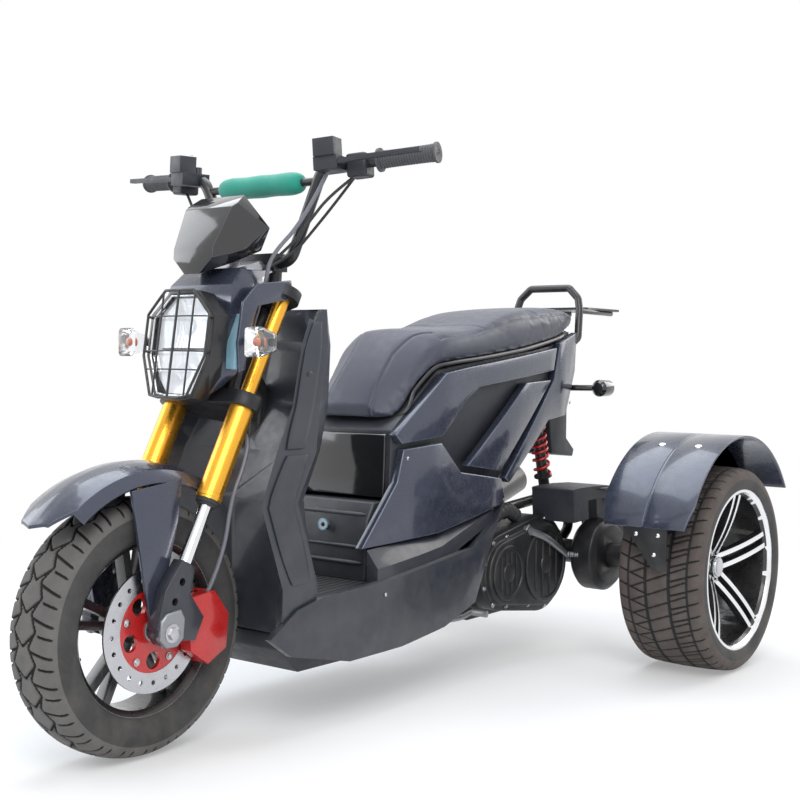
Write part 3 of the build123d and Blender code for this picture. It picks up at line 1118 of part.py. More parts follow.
def main():
    """Make every node and write it."""
    front = Pos(*FRONT_HUB)
    rear = Pos(*REAR_HUB)
    save("front_tyre", front * tyre(
        FRONT_TYRE_RADIUS, FRONT_TYRE_HALF, FRONT_SHOULDER_HALF, FRONT_SHOULDER_DROP,
        FRONT_BEAD_RADIUS, FRONT_BEAD_HALF, FRONT_LIP_RADIUS,
    ))
    save("front_rim", front * front_rim())
    save("brake_disc", front * brake_disc())
    save("disc_carrier", front * disc_carrier())
    wide_tyre = rear * tyre(
        REAR_TYRE_RADIUS, REAR_TYRE_HALF, REAR_SHOULDER_HALF, REAR_SHOULDER_DROP,
        REAR_BEAD_RADIUS, REAR_BEAD_HALF, REAR_LIP_RADIUS,
    )
    wide_rim = rear * rear_rim()
    for side, rubber, rim in zip(("left", "right"), both(wide_tyre), both(wide_rim)):
        save(f"rear_tyre_{side}", rubber)
        save(f"rear_rim_{side}", rim)

    tubes = fork_tubes()
    lowers = fork_lowers()
    bar = handlebar()
    upper = upper_yoke(bar)
    hose = tube(HOSE_ROUTE, HOSE_RADIUS, HOSE_BEND)
    lower = yoke(LOWER_YOKE, LOWER_YOKE_DEPTH, stem()) - tube(HOSE_ROUTE, HOSE_RADIUS + SEAM, HOSE_BEND)
    save("fork_tubes", *[piece - lower for piece in tubes])
    save("stanchions", *leg_rods(STANCHION_RADIUS, STANCHION_FOOT, SLEEVE_FOOT))
    save("fork_lowers", lowers)
    save("lower_yoke", lower)
    save("upper_yoke", upper)
    save("handlebar", bar)
    save("bar_pad", bar_pad(bar))
    save("grips", grip(1, bar), grip(-1, bar))
    controls = hand_control(1, bar) + hand_control(-1, bar)
    save("hand_controls", *[piece - hose for piece in controls])
    shell = headlamp_shell() - tube(HOSE_ROUTE, HOSE_RADIUS + SEAM, HOSE_BEND)
    save("headlamp_shell", shell)
    save("headlamp_lens", headlamp_lens())
    save("headlamp_grille", headlamp_grille())
    save("meter_visor", cross_prism(VISOR_SIDE_SHARES, VISOR_FRONT_SHARES, VISOR_PLAN_SHARES) - shell)
    arms = lamp_arms(upper)
    save("lamp_arms", *arms)
    save("side_lenses", *side_lenses(shell))
    save("front_signals", *front_signals(tubes[0] + tubes[1]))
    fender = front_fender()
    save("front_fender", fender)
    save("fender_struts", *fender_struts(fender))
    save("brake_caliper", brake_caliper(lowers, hose))
    save("brake_hose", hose)

    frame = main_frame()
    axle = rear_axle()
    core = body_core()
    shield = leg_shield(frame)
    knee = knee_panel(shield, frame)
    floor_plan = plan_prism(SKIRT_PLAN_SHARES, SKIRT_PLACE_SHARES, SKIRT_WALL)
    floor = (side_prism(FLOOR_SHARES, -FLOOR_WIDTH / 2, FLOOR_WIDTH / 2) & floor_plan) - shield - knee - frame
    save("main_frame", frame)
    save("rear_axle", axle)
    save("body_core", core)
    save("leg_shield", shield)
    save("knee_panel", knee)
    step_box = side_prism(STEP_BOX_SHARES, -STEP_BOX_HALF, STEP_BOX_HALF) - core - frame - floor
    upper_box = side_prism(UPPER_BOX_SHARES, -UPPER_BOX_HALF, UPPER_BOX_HALF) - core - step_box
    save("floorboard", floor)
    save("step_box", step_box)
    save("seat_front_panel", upper_box)
    lock = Pos(0, LOCK_Y, LOCK_Z) * Rot(X=90) * Cylinder(LOCK_RADIUS, 2 * LOCK_PROUD)
    save("ignition_lock", lock - step_box)
    save("side_skirts", *[piece - shield for piece in side_skirts(floor, frame)])
    save("belly_pan", side_prism(BELLY_SHARES, -BELLY_HALF, BELLY_HALF) - shield - frame)
    cutters = core + step_box
    lower_panel = panel(LOWER_PANEL_SHARES, BODY_PLAN_SHARES, BODY_PLACE_SHARES, PANEL_WALL)
    slant_panel = panel(SLANT_PANEL_SHARES, BODY_PLAN_SHARES, BODY_PLACE_SHARES, PANEL_WALL)
    save("side_panels", *both(lower_panel - cutters), *both(slant_panel - cutters))
    save("side_trims", *both(panel(TRIM_SHARES, BODY_PLAN_SHARES, BODY_PLACE_SHARES, PANEL_WALL)))
    tails = both(panel(TAIL_SHARES, BODY_PLAN_SHARES, BODY_PLACE_SHARES, PANEL_WALL))
    save("tail_covers", *tails)
    save("seat", seat())
    rail = grab_rail(core + tails[0] + tails[1])
    lamp = tail_lamp(core)
    plate = side_prism(PLATE_SHARES, -PLATE_HALF, PLATE_HALF) - core - lamp
    save("grab_rail", rail)
    save("luggage_rack", luggage_rack(rail))
    save("tail_lamp", lamp)
    save("plate_bracket", plate)
    save("rear_signals", *rear_signals(core + tails[0] + tails[1] + plate))
    save("engine_block", side_prism(ENGINE_SHARES, -ENGINE_HALF, ENGINE_HALF) - frame)
    save("belt_case", belt_case() - frame)
    save("exhaust", exhaust())
    housing = drive_housing(axle)
    save("drive_housing", housing)
    save("drive_guard", drive_guard(housing) - frame)
    save("shocks", *shocks(frame, core))
    save("shock_springs", *springs())
    save("wheel_fenders", *both(wheel_fender()))
    save("fender_brackets", *both(fender_bracket()))


main()
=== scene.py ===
import logging
from dataclasses import dataclass, field
from enum import Enum

import bmesh
import bpy
import numpy as np
from mathutils import Matrix, Vector


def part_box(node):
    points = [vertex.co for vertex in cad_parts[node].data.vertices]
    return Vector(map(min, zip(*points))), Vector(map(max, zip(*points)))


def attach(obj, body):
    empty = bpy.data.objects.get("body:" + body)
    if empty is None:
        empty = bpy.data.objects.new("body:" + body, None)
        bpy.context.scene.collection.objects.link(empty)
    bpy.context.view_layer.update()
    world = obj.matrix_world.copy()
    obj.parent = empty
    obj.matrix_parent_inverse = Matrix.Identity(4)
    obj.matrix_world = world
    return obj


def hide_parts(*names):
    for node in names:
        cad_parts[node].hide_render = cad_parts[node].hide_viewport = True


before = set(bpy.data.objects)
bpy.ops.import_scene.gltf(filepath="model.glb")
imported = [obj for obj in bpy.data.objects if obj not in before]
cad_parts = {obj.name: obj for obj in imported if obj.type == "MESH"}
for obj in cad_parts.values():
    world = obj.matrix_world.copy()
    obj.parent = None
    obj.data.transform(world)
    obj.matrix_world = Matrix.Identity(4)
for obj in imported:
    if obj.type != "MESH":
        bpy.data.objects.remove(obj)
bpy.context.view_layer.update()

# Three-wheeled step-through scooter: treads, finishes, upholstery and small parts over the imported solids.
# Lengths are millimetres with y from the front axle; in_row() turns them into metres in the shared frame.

log = logging.getLogger("scooter")

MILLIMETRE = 0.001
MIDDLE_Y = 733.5
ROUND = 2.0 * np.pi
WHEELBASE = 1350.0
FRONT_HUB = np.array([0.0, 0.0, 238.0])
RAKE = np.radians(27.5)
FORK_BACK = np.array([0.0, np.cos(RAKE), -np.sin(RAKE)])
FORK_UP = np.array([0.0, np.sin(RAKE), np.cos(RAKE)])
TO_LEFT = np.array([1.0, 0.0, 0.0])
TO_FRONT = np.array([0.0, -1.0, 0.0])
UPWARD = np.array([0.0, 0.0, 1.0])
MIRROR = np.array([-1.0, 1.0, 1.0])
ROAD_DUST = (0.19, 0.175, 0.155, 1.0)
# Groove colour of the treads: clean rubber, made darker than the tyre's own rubber as painted shade in the
# grooves.
CLEAN_RUBBER_WITH_GROOVE_SHADE = (0.012, 0.012, 0.013, 1.0)

Triple = tuple[float, float, float]
Outline = tuple[tuple[float, float], ...]


class Body(Enum):
    """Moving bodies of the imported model."""

    CHASSIS = "chassis"
    STEERING = "steering"
    FRONT_WHEEL = "front_wheel"
    WHEEL_LEFT = "rear_wheel_left"
    WHEEL_RIGHT = "rear_wheel_right"
    SEAT = "seat"


class Side(Enum):
    """Left and right, as the sign of x."""

    LEFT = 1
    RIGHT = -1


class Grain(Enum):
    """Fine relief of a finish."""

    SMOOTH = "smooth"
    PEBBLED = "pebbled"
    CAST = "cast"
    BRUSHED = "brushed"
    WOVEN = "woven"


# Finishes


def ranged(
    tree: bpy.types.NodeTree,
    value: bpy.types.NodeSocket,
    low: float,
    high: float,
    out_low: float,
    out_high: float,
) -> bpy.types.NodeSocket:
    """The value carried linearly from [low, high] to [out_low, out_high] and held there."""
    node = tree.nodes.new("ShaderNodeMapRange")
    for socket, number in zip(node.inputs[1:5], (low, high, out_low, out_high)):
        socket.default_value = number
    tree.links.new(value, node.inputs["Value"])
    return node.outputs["Result"]


def combined(
    tree: bpy.types.NodeTree, operation: str, first: bpy.types.NodeSocket, second: bpy.types.NodeSocket
) -> bpy.types.NodeSocket:
    """Two values joined by one operation of the Math node."""
    node = tree.nodes.new("ShaderNodeMath")
    node.operation = operation
    tree.links.new(first, node.inputs[0])
    tree.links.new(second, node.inputs[1])
    return node.outputs[0]


def seen_directly(tree: bpy.types.NodeTree) -> bpy.types.NodeSocket:
    """1 for rays from the camera, reflections and glass, and 0 for light that falls on things."""
    rays = tree.nodes.new("ShaderNodeLightPath").outputs
    either = combined(tree, "MAXIMUM", rays["Is Camera Ray"], rays["Is Glossy Ray"])
    return combined(tree, "MAXIMUM", either, rays["Is Transmission Ray"])


@dataclass(frozen=True)
class Finish:
    """One surface finish: its colour, its gloss, its fine relief, how it varies and how dusty it is."""

    name: str
    slot: str
    colour: Triple
    roughness: float
    metallic: float = 0.0
    coat: float = 0.0
    grain: Grain = Grain.SMOOTH
    grain_mm: float = 1.2
    relief_mm: float = 0.05
    mottle: float = 0.12
    mottle_mm: float = 90.0
    dust: float = 0.0
    transmission: float = 0.0
    sheen: float = 0.0
    glow: float = 0.0
    # Whether the grooves get painted shade, read from the tread_cut attribute.
    grooved: bool = False

    def material(self) -> bpy.types.Material:
        """The finish as a node material on Object coordinates, made once.

        Returns:
            The material, whose colour is the base colour times a slow noise, mixed with dust low down and,
            where grooved, darkened by painted shade in the grooves.
        """
        found = bpy.data.materials.get(self.name)
        if found:
            return found
        made = bpy.data.materials.new(self.name)
        made.use_nodes = True
        tree = made.node_tree
        shader = tree.nodes["Principled BSDF"]
        shader.inputs["Metallic"].default_value = self.metallic
        shader.inputs["Coat Weight"].default_value = self.coat
        shader.inputs["Coat Roughness"].default_value = 0.08
        shader.inputs["Transmission Weight"].default_value = self.transmission
        shader.inputs["Sheen Weight"].default_value = self.sheen
        if self.glow:
            shader.inputs["Emission Color"].default_value = (*self.colour, 1.0)
            shader.inputs["Emission Strength"].default_value = self.glow
        where = tree.nodes.new("ShaderNodeTexCoord").outputs["Object"]
        slow = self._noise(tree, where, self.mottle_mm, 4.0)
        colour = self._blend(
            tree, slow, self._shade(1.0 - self.mottle), self._shade(1.0 + self.mottle)
        )
        if self.dust:
            colour = self._dusted(tree, where, colour)
        # Painted shade in the tread's grooves, darker than the rubber itself.
        if self.grooved:
            colour = self._darkened(tree, colour)
        tree.links.new(colour, shader.inputs["Base Color"])
        fine = self._noise(tree, where, self.mottle_mm / 5.0, 3.0)
        rough = ranged(
            tree, fine, 0.3, 0.7, max(self.roughness - 0.06, 0.02), min(self.roughness + 0.08, 1.0)
        )
        tree.links.new(rough, shader.inputs["Roughness"])
        if self.grain is not Grain.SMOOTH:
            tree.links.new(self._relief(tree, where), shader.inputs["Normal"])
        return made

    def _shade(self, factor: float) -> tuple[float, float, float, float]:
        """The base colour made lighter or darker by a factor."""
        return (*(min(c * factor, 1.0) for c in self.colour), 1.0)

    @staticmethod
    def _noise(
        tree: bpy.types.NodeTree, where: bpy.types.NodeSocket, size_mm: float, detail: float
    ) -> bpy.types.NodeSocket:
        """A noise whose features are about size_mm across."""
        node = tree.nodes.new("ShaderNodeTexNoise")
        node.inputs["Scale"].default_value = 1.0 / (size_mm * MILLIMETRE)
        node.inputs["Detail"].default_value = detail
        tree.links.new(where, node.inputs["Vector"])
        return node.outputs["Fac"]

    @staticmethod
    def _blend(
        tree: bpy.types.NodeTree,
        factor: bpy.types.NodeSocket,
        first: tuple[float, float, float, float] | bpy.types.NodeSocket,
        second: tuple[float, float, float, float],
    ) -> bpy.types.NodeSocket:
        """A colour between first and second by a factor."""
        node = tree.nodes.new("ShaderNodeMix")
        node.data_type = "RGBA"
        tree.links.new(factor, node.inputs["Factor"])
        if isinstance(first, tuple):
            node.inputs[6].default_value = first
        else:
            tree.links.new(first, node.inputs[6])
        node.inputs[7].default_value = second
        return node.outputs[2]

    def _dusted(
        self, tree: bpy.types.NodeTree, where: bpy.types.NodeSocket, colour: bpy.types.NodeSocket
    ) -> bpy.types.NodeSocket:
        """Dry road dust: patchy noise times nearness to the ground, mixed over the colour."""
        split = tree.nodes.new("ShaderNodeSeparateXYZ")
        tree.links.new(where, split.inputs[0])
        low = ranged(tree, split.outputs["Z"], 0.05, 0.62, self.dust, 0.15 * self.dust)
        patches = ranged(tree, self._noise(tree, where, 60.0, 6.0), 0.38, 0.66, 0.0, 1.0)
        return self._blend(tree, combined(tree, "MULTIPLY", low, patches), colour, ROAD_DUST)

    def _darkened(
        self, tree: bpy.types.NodeTree, colour: bpy.types.NodeSocket
    ) -> bpy.types.NodeSocket:
        """Clean rubber in the grooves, darker than the tyre's own rubber as painted shade, by the share of
        the tread's depth kept with each point.
        """
        cut = tree.nodes.new("ShaderNodeAttribute")
        cut.attribute_name = "tread_cut"
        groove = ranged(tree, cut.outputs["Fac"], 0.15, 0.55, 0.0, 1.0)
        return self._blend(tree, groove, colour, CLEAN_RUBBER_WITH_GROOVE_SHADE)

    def _relief(
        self, tree: bpy.types.NodeTree, where: bpy.types.NodeSocket
    ) -> bpy.types.NodeSocket:
        """Bump of the finish's grain: cells, noise, drawn-out noise or crossed waves."""
        if self.grain is Grain.PEBBLED:
            cells = tree.nodes.new("ShaderNodeTexVoronoi")
            cells.inputs["Scale"].default_value = 1.0 / (self.grain_mm * MILLIMETRE)
            tree.links.new(where, cells.inputs["Vector"])
            height = cells.outputs["Distance"]
        elif self.grain is Grain.WOVEN:
            waves = []
            for axis in ("X", "Z"):
                wave = tree.nodes.new("ShaderNodeTexWave")
                wave.bands_direction = axis
                wave.inputs["Scale"].default_value = 0.16 / (self.grain_mm * MILLIMETRE)
                tree.links.new(where, wave.inputs["Vector"])
                waves.append(wave.outputs["Fac"])
            height = combined(tree, "MAXIMUM", *waves)
        elif self.grain is Grain.BRUSHED:
            drawn = tree.nodes.new("ShaderNodeMapping")
            drawn.inputs["Scale"].default_value = (1.0, 14.0, 14.0)
            tree.links.new(where, drawn.inputs["Vector"])
            height = self._noise(tree, drawn.outputs[0], self.grain_mm * 8.0, 2.0)
        else:
            height = self._noise(tree, where, self.grain_mm, 3.0)
        bump = tree.nodes.new("ShaderNodeBump")
        bump.inputs["Strength"].default_value = 1.0
        bump.inputs["Distance"].default_value = self.relief_mm * MILLIMETRE
        tree.links.new(height, bump.inputs["Height"])
        return bump.outputs["Normal"]


PAINT = Finish("slate_paint", "panel", (0.046, 0.054, 0.084), 0.26, 0.35, 0.6, mottle=0.04, dust=0.03)
# Lighter copy of the paint, put on eased edges as a painted highlight.
PAINT_EDGE_HIGHLIGHT = Finish("slate_edge_highlight", "panel", (0.090, 0.104, 0.145), 0.32, 0.35, 0.4, mottle=0.06)
CHARCOAL = Finish(
    "charcoal_moulding", "dark_plastic", (0.024, 0.027, 0.036), 0.48, grain=Grain.PEBBLED, grain_mm=1.4,
    relief_mm=0.06, mottle=0.14, dust=0.16,
)
# Lighter copy of the charcoal, put on eased edges and ledges as a painted highlight.
CHARCOAL_EDGE_HIGHLIGHT = Finish("charcoal_edge_highlight", "dark_plastic", (0.060, 0.063, 0.072), 0.50, dust=0.15)
SKIRT = Finish(
    "skirt_moulding", "panel", (0.023, 0.027, 0.039), 0.38, coat=0.25, grain=Grain.PEBBLED, grain_mm=1.1,
    relief_mm=0.03, mottle=0.12, dust=0.16,
)
SMOKE = Finish("smoke_gloss", "smoke", (0.012, 0.012, 0.014), 0.10, coat=0.8, mottle=0.1)
VINYL = Finish(
    "seat_vinyl", "vinyl", (0.038, 0.042, 0.068), 0.44, grain=Grain.PEBBLED, grain_mm=1.5, relief_mm=0.10,
    mottle=0.12, sheen=0.15,
)
VINYL_SIDE = Finish(
    "seat_vinyl_side", "vinyl", (0.031, 0.036, 0.060), 0.42, grain=Grain.PEBBLED, grain_mm=1.2,
    relief_mm=0.07, mottle=0.10, sheen=0.1,
)
GOLD = Finish("gold_anodised", "gold", (0.90, 0.44, 0.035), 0.30, 0.85, 0.4, mottle=0.03)
CHROME = Finish("bright_chrome", "chrome", (0.80, 0.81, 0.83), 0.10, 1.0, mottle=0.04)
BLACK_METAL = Finish(
    "black_coat", "black_metal", (0.018, 0.018, 0.020), 0.36, coat=0.2, grain=Grain.CAST, grain_mm=1.6,
    relief_mm=0.05, dust=0.12,
)
DARK_CAST = Finish(
    "dark_casting", "dark_cast", (0.022, 0.023, 0.027), 0.40, 0.35, grain=Grain.CAST, grain_mm=1.8,
    relief_mm=0.16, mottle=0.22, dust=0.22,
)
LEG_PAINT = Finish(
    "leg_paint", "dark_cast", (0.046, 0.050, 0.064), 0.34, 0.45, 0.2, grain=Grain.CAST, grain_mm=1.8,
    relief_mm=0.05, mottle=0.08, dust=0.10,
)
GREY_CAST = Finish(
    "grey_casting", "grey_cast", (0.30, 0.31, 0.33), 0.40, 0.85, grain=Grain.CAST, grain_mm=1.6,
    relief_mm=0.12, mottle=0.18, dust=0.15,
)
STEEL = Finish(
    "ground_steel", "steel", (0.50, 0.50, 0.52), 0.26, 1.0, grain=Grain.BRUSHED, grain_mm=0.8,
    relief_mm=0.03, mottle=0.10,
)
MACHINED = Finish(
    "machined_rim", "silver_rim", (0.84, 0.85, 0.87), 0.22, 1.0, grain=Grain.BRUSHED, grain_mm=0.7,
    relief_mm=0.02, mottle=0.06,
)
RIM_BLACK = Finish("rim_black", "black_metal", (0.014, 0.014, 0.016), 0.28, coat=0.5, dust=0.12)
TYRE_RUBBER = Finish(
    "tyre_rubber", "tyre", (0.040, 0.039, 0.039), 0.72, grain=Grain.CAST, grain_mm=2.2, relief_mm=0.14,
    mottle=0.24, mottle_mm=45.0, dust=0.26,
)
# Tread faces are dusty, and their grooves carry painted shade.
TREAD_TOP = Finish(
    "tread_faces", "tyre", (0.125, 0.118, 0.114), 0.84, grain=Grain.CAST, grain_mm=1.6, relief_mm=0.10,
    mottle=0.22, mottle_mm=30.0, dust=0.30, grooved=True,
)
WORN_TREAD_TOP = Finish(
    "worn_tread_faces", "tyre", (0.090, 0.072, 0.065), 0.78, grain=Grain.CAST, grain_mm=1.6, relief_mm=0.10,
    mottle=0.26, mottle_mm=30.0, dust=0.25, grooved=True,
)
HOSE_SLEEVE = Finish("hose_sleeve", "rubber", (0.17, 0.17, 0.20), 0.38, mottle=0.05)
RUBBER = Finish(
    "grip_rubber", "rubber", (0.030, 0.030, 0.032), 0.62, grain=Grain.PEBBLED, grain_mm=1.0, relief_mm=0.06,
)
GREY_RUBBER = Finish(
    "grey_rubber", "rubber", (0.075, 0.076, 0.085), 0.60, grain=Grain.PEBBLED, grain_mm=1.0, relief_mm=0.06,
)
RED = Finish("red_enamel", "red", (0.52, 0.014, 0.014), 0.28, 0.1, 0.5, mottle=0.10, dust=0.08)
TEAL = Finish(
    "teal_cloth", "teal", (0.008, 0.30, 0.22), 0.66, grain=Grain.WOVEN, grain_mm=0.9, relief_mm=0.10,
    mottle=0.10, sheen=0.3,
)
CLEAR = Finish("clear_cover", "clear", (0.95, 0.97, 1.0), 0.05, transmission=0.96, mottle=0.01)
BLUE_LENS = Finish("blue_lens", "blue_lens", (0.42, 0.72, 0.86), 0.08, transmission=0.6, coat=0.5)
RED_LENS = Finish("red_lens", "red_lens", (0.42, 0.008, 0.010), 0.10, transmission=0.25, coat=0.6)
AMBER = Finish("amber_bulb", "red_lens", (0.72, 0.17, 0.06), 0.2, coat=0.5, glow=0.05)
# Lamp reflector: mirror-like metal with a painted glow that stands for the light it reflects.
MIRROR_WITH_PAINTED_GLOW = Finish("lamp_reflector", "chrome", (0.93, 0.94, 0.96), 0.16, 0.6, mottle=0.03, glow=0.28)
SCREEN = Finish("gauge_glass", "smoke", (0.010, 0.014, 0.018), 0.06, coat=1.0)
SILVER_TRIM = Finish("silver_mark", "steel", (0.62, 0.63, 0.66), 0.3, 0.8)

NODE_FINISH: dict[str, Finish] = {
    "front_tyre": TYRE_RUBBER,
    "front_rim": RIM_BLACK,
    "brake_disc": STEEL,
    "disc_carrier": RED,
    "rear_tyre_left": TYRE_RUBBER,
    "rear_rim_left": MACHINED,
    "rear_tyre_right": TYRE_RUBBER,
    "rear_rim_right": MACHINED,
    "fork_tubes": GOLD,
    "stanchions": CHROME,
    "fork_lowers": LEG_PAINT,
    "lower_yoke": DARK_CAST,
    "upper_yoke": DARK_CAST,
    "handlebar": BLACK_METAL,
    "bar_pad": TEAL,
    "grips": GREY_RUBBER,
    "hand_controls": CHARCOAL,
    "headlamp_shell": PAINT,
    "headlamp_lens": CLEAR,
    "headlamp_grille": BLACK_METAL,
    "meter_visor": SMOKE,
    "lamp_arms": PAINT,
    "side_lenses": BLUE_LENS,
    "front_signals": CLEAR,
    "front_fender": PAINT,
    "fender_struts": PAINT,
    "brake_caliper": RED,
    "brake_hose": RUBBER,
    "main_frame": BLACK_METAL,
    "rear_axle": BLACK_METAL,
    "body_core": CHARCOAL,
    "leg_shield": SKIRT,
    "knee_panel": CHARCOAL,
    "floorboard": CHARCOAL,
    "step_box": CHARCOAL,
    "seat_front_panel": SMOKE,
    "ignition_lock": CHROME,
    "side_skirts": SKIRT,
    "belly_pan": CHARCOAL,
    "side_panels": PAINT,
    "side_trims": PAINT,
    "tail_covers": PAINT,
    "seat": VINYL,
    "grab_rail": BLACK_METAL,
    "luggage_rack": BLACK_METAL,
    "tail_lamp": RED_LENS,
    "plate_bracket": CHARCOAL,
    "rear_signals": SMOKE,
    "engine_block": DARK_CAST,
    "belt_case": DARK_CAST,
    "exhaust": BLACK_METAL,
    "drive_housing": DARK_CAST,
    "drive_guard": CHARCOAL,
    "shocks": BLACK_METAL,
    "shock_springs": RED,
    "wheel_fenders": PAINT,
    "fender_brackets": STEEL,
}


# Shapes


@dataclass
class Surface:
    """Points in millimetres, one row each, and faces as lists of point numbers."""

    points: np.ndarray
    faces: list[list[int]] = field(default_factory=list)


def in_row(points: np.ndarray) -> np.ndarray:
    """Millimetres from the front axle as metres in the shared frame: less the middle, times a thousandth."""
    return (np.asarray(points, float) - (0.0, MIDDLE_Y, 0.0)) * MILLIMETRE


def from_row(points: np.ndarray) -> np.ndarray:
    """Metres in the shared frame as millimetres from the front axle, which is in_row() turned round."""
    return points / MILLIMETRE + (0.0, MIDDLE_Y, 0.0)


def placed(x: float | np.ndarray, y: float | np.ndarray, z: float | np.ndarray) -> np.ndarray:
    """Points from their three coordinates, each one number or an array, spread to one shape."""
    return np.stack(np.broadcast_arrays(x, y, z), axis=-1)


def round_axle(middle: np.ndarray, radius: float, turn: np.ndarray) -> np.ndarray:
    """Places on a circle square to x: middle plus (0, radius * cos, radius * sin) of each turn."""
    return middle + placed(0.0, radius * np.cos(turn), radius * np.sin(turn))


def outward(places: np.ndarray) -> np.ndarray:
    """The direction away from the middle plane at each place: x, with the sign of the place's x."""
    return np.sign(places[:, :1]) * TO_LEFT


def on_fork(x: float, back: float, up: float) -> np.ndarray:
    """A point from the front axle: across, behind the legs' line and up along it."""
    return FRONT_HUB + np.array([x, 0.0, 0.0]) + back * FORK_BACK + up * FORK_UP


def grid(
    points: np.ndarray, wrap_rows: bool = False, wrap_columns: bool = False, capped: bool = False
) -> Surface:
    """A surface through a grid of points.

    Point (i, j) joins (i, j+1), (i+1, j+1) and (i+1, j), with the last row or column joined to the first
    where it wraps, and with its first and last rows closed by one face each where it is capped.

    Args:
        points: Array of rows by columns by three.
        wrap_rows: Whether the last row joins the first.
        wrap_columns: Whether the last column joins the first.
        capped: Whether the end rows are closed.

    Returns:
        The surface.
    """
    rows, columns = points.shape[:2]
    i = np.arange(rows if wrap_rows else rows - 1)[:, None]
    j = np.arange(columns if wrap_columns else columns - 1)[None, :]
    near = i * columns
    far = ((i + 1) % rows) * columns
    after = (j + 1) % columns
    faces = np.stack([near + j, near + after, far + after, far + j], axis=-1).reshape(-1, 4).tolist()
    if capped:
        faces.append(list(range(columns))[::-1])
        faces.append(list(range((rows - 1) * columns, rows * columns)))
    return Surface(points.reshape(-1, 3), faces)


def together(*surfaces: Surface) -> Surface:
    """Several surfaces as one, each face's numbers raised by the points before it."""
    starts = np.cumsum([0] + [len(s.points) for s in surfaces])
    faces = [[n + int(k) for n in face] for s, k in zip(surfaces, starts) for face in s.faces]
    return Surface(np.concatenate([s.points for s in surfaces]), faces)


def mirrored(surface: Surface) -> Surface:
    """The surface with x turned round and its faces run backwards."""
    return Surface(surface.points * MIRROR, [face[::-1] for face in surface.faces])


def pair(left: Surface) -> Surface:
    """A left shape and its mirror image as one surface."""
    return together(left, mirrored(left))


def flowing(points: np.ndarray | list, count: int) -> np.ndarray:
    """A smooth line through points: the Catmull-Rom cubic of each four neighbours, at count even steps."""
    p = np.asarray(points, float)
    flat = p.reshape(len(p), -1)
    padded = np.vstack([2.0 * flat[0] - flat[1], flat, 2.0 * flat[-1] - flat[-2]])
    t = np.linspace(0.0, len(p) - 1.0, count)
    i = np.minimum(t.astype(int), len(p) - 2)
    f = (t - i)[:, None]
    a, b, c, d = (padded[i + k] for k in range(4))
    lower = 2.0 * b + (c - a) * f + (2.0 * a - 5.0 * b + 4.0 * c - d) * f**2
    line = 0.5 * (lower + (3.0 * b - a - 3.0 * c + d) * f**3)
    return line.reshape((count,) + p.shape[1:])


def turned(
    profile: np.ndarray | Outline, columns: int, centre: np.ndarray, axis: np.ndarray = TO_LEFT
) -> Surface:
    """A profile spun about an axis: (along, radius) becomes centre + along * axis + radius * (cos, sin).

    Args:
        profile: Rows of distance along the axis and radius.
        columns: How many steps there are round the axis.
        centre: A point of the axis.
        axis: Its direction.

    Returns:
        The surface, capped at both ends.
    """
    profile = np.array(profile)
    axis = np.asarray(axis, float) / np.linalg.norm(axis)
    aside = np.cross(axis, (0.0, 0.0, 1.0) if abs(axis[2]) < 0.9 else (1.0, 0.0, 0.0))
    aside /= np.linalg.norm(aside)
    third = np.cross(axis, aside)
    angle = np.linspace(0.0, ROUND, columns, endpoint=False)[None, :, None]
    along = profile[:, 0][:, None, None]
    radius = profile[:, 1][:, None, None]
    ring = np.cos(angle) * aside + np.sin(angle) * third
    points = np.asarray(centre, float) + along * axis + radius * ring
    return grid(points, wrap_columns=True, capped=True)


def carried(
    path: np.ndarray, radius: float | np.ndarray, columns: int = 12, closed: bool = False
) -> Surface:
    """A round tube along a path: a ring square to the path's direction at each of its points.

    Args:
        path: Points of the middle line.
        radius: The tube's radius, one number or one for each point.
        columns: Points round the tube.
        closed: Whether the path is a loop.

    Returns:
        The tube, capped unless it is a loop.
    """
    ahead = np.gradient(path, axis=0)
    if closed:
        ahead = np.roll(path, -1, axis=0) - np.roll(path, 1, axis=0)
    ahead /= np.linalg.norm(ahead, axis=1)[:, None]
    least = np.argmin(np.abs(ahead).max(axis=0))
    aside = np.cross(ahead, np.eye(3)[least])
    aside /= np.linalg.norm(aside, axis=1)[:, None]
    third = np.cross(ahead, aside)
    angle = np.linspace(0.0, ROUND, columns, endpoint=False)[None, :, None]
    reach = np.broadcast_to(np.asarray(radius, float), (len(path),))[:, None, None]
    ring = np.cos(angle) * aside[:, None] + np.sin(angle) * third[:, None]
    return grid(path[:, None] + reach * ring, wrap_rows=closed, wrap_columns=True, capped=not closed)


def stamped(shape: Surface, places: np.ndarray, facing: np.ndarray) -> Surface:
    """Copies of a shape, each with its own z turned to face outwards at its place.

    Args:
        shape: The shape, standing on z = 0.
        places: Where each copy stands.
        facing: The direction each copy's z takes.

    Returns:
        All copies as one surface.
    """
    places = np.asarray(places, float).reshape(-1, 3)
    up = np.broadcast_to(np.asarray(facing, float), places.shape)
    up = up / np.linalg.norm(up, axis=1)[:, None]
    spare = np.where(np.abs(up[:, :1]) < 0.9, (1.0, 0.0, 0.0), (0.0, 1.0, 0.0))
    aside = np.cross(up, spare)
    aside /= np.linalg.norm(aside, axis=1)[:, None]
    axes = np.stack([aside, np.cross(up, aside), up], axis=1)
    points = np.einsum("pk,nkc->npc", shape.points, axes) + places[:, None]
    count = len(shape.points)
    faces = [[n + k * count for n in face] for k in range(len(places)) for face in shape.faces]
    return Surface(points.reshape(-1, 3), faces)


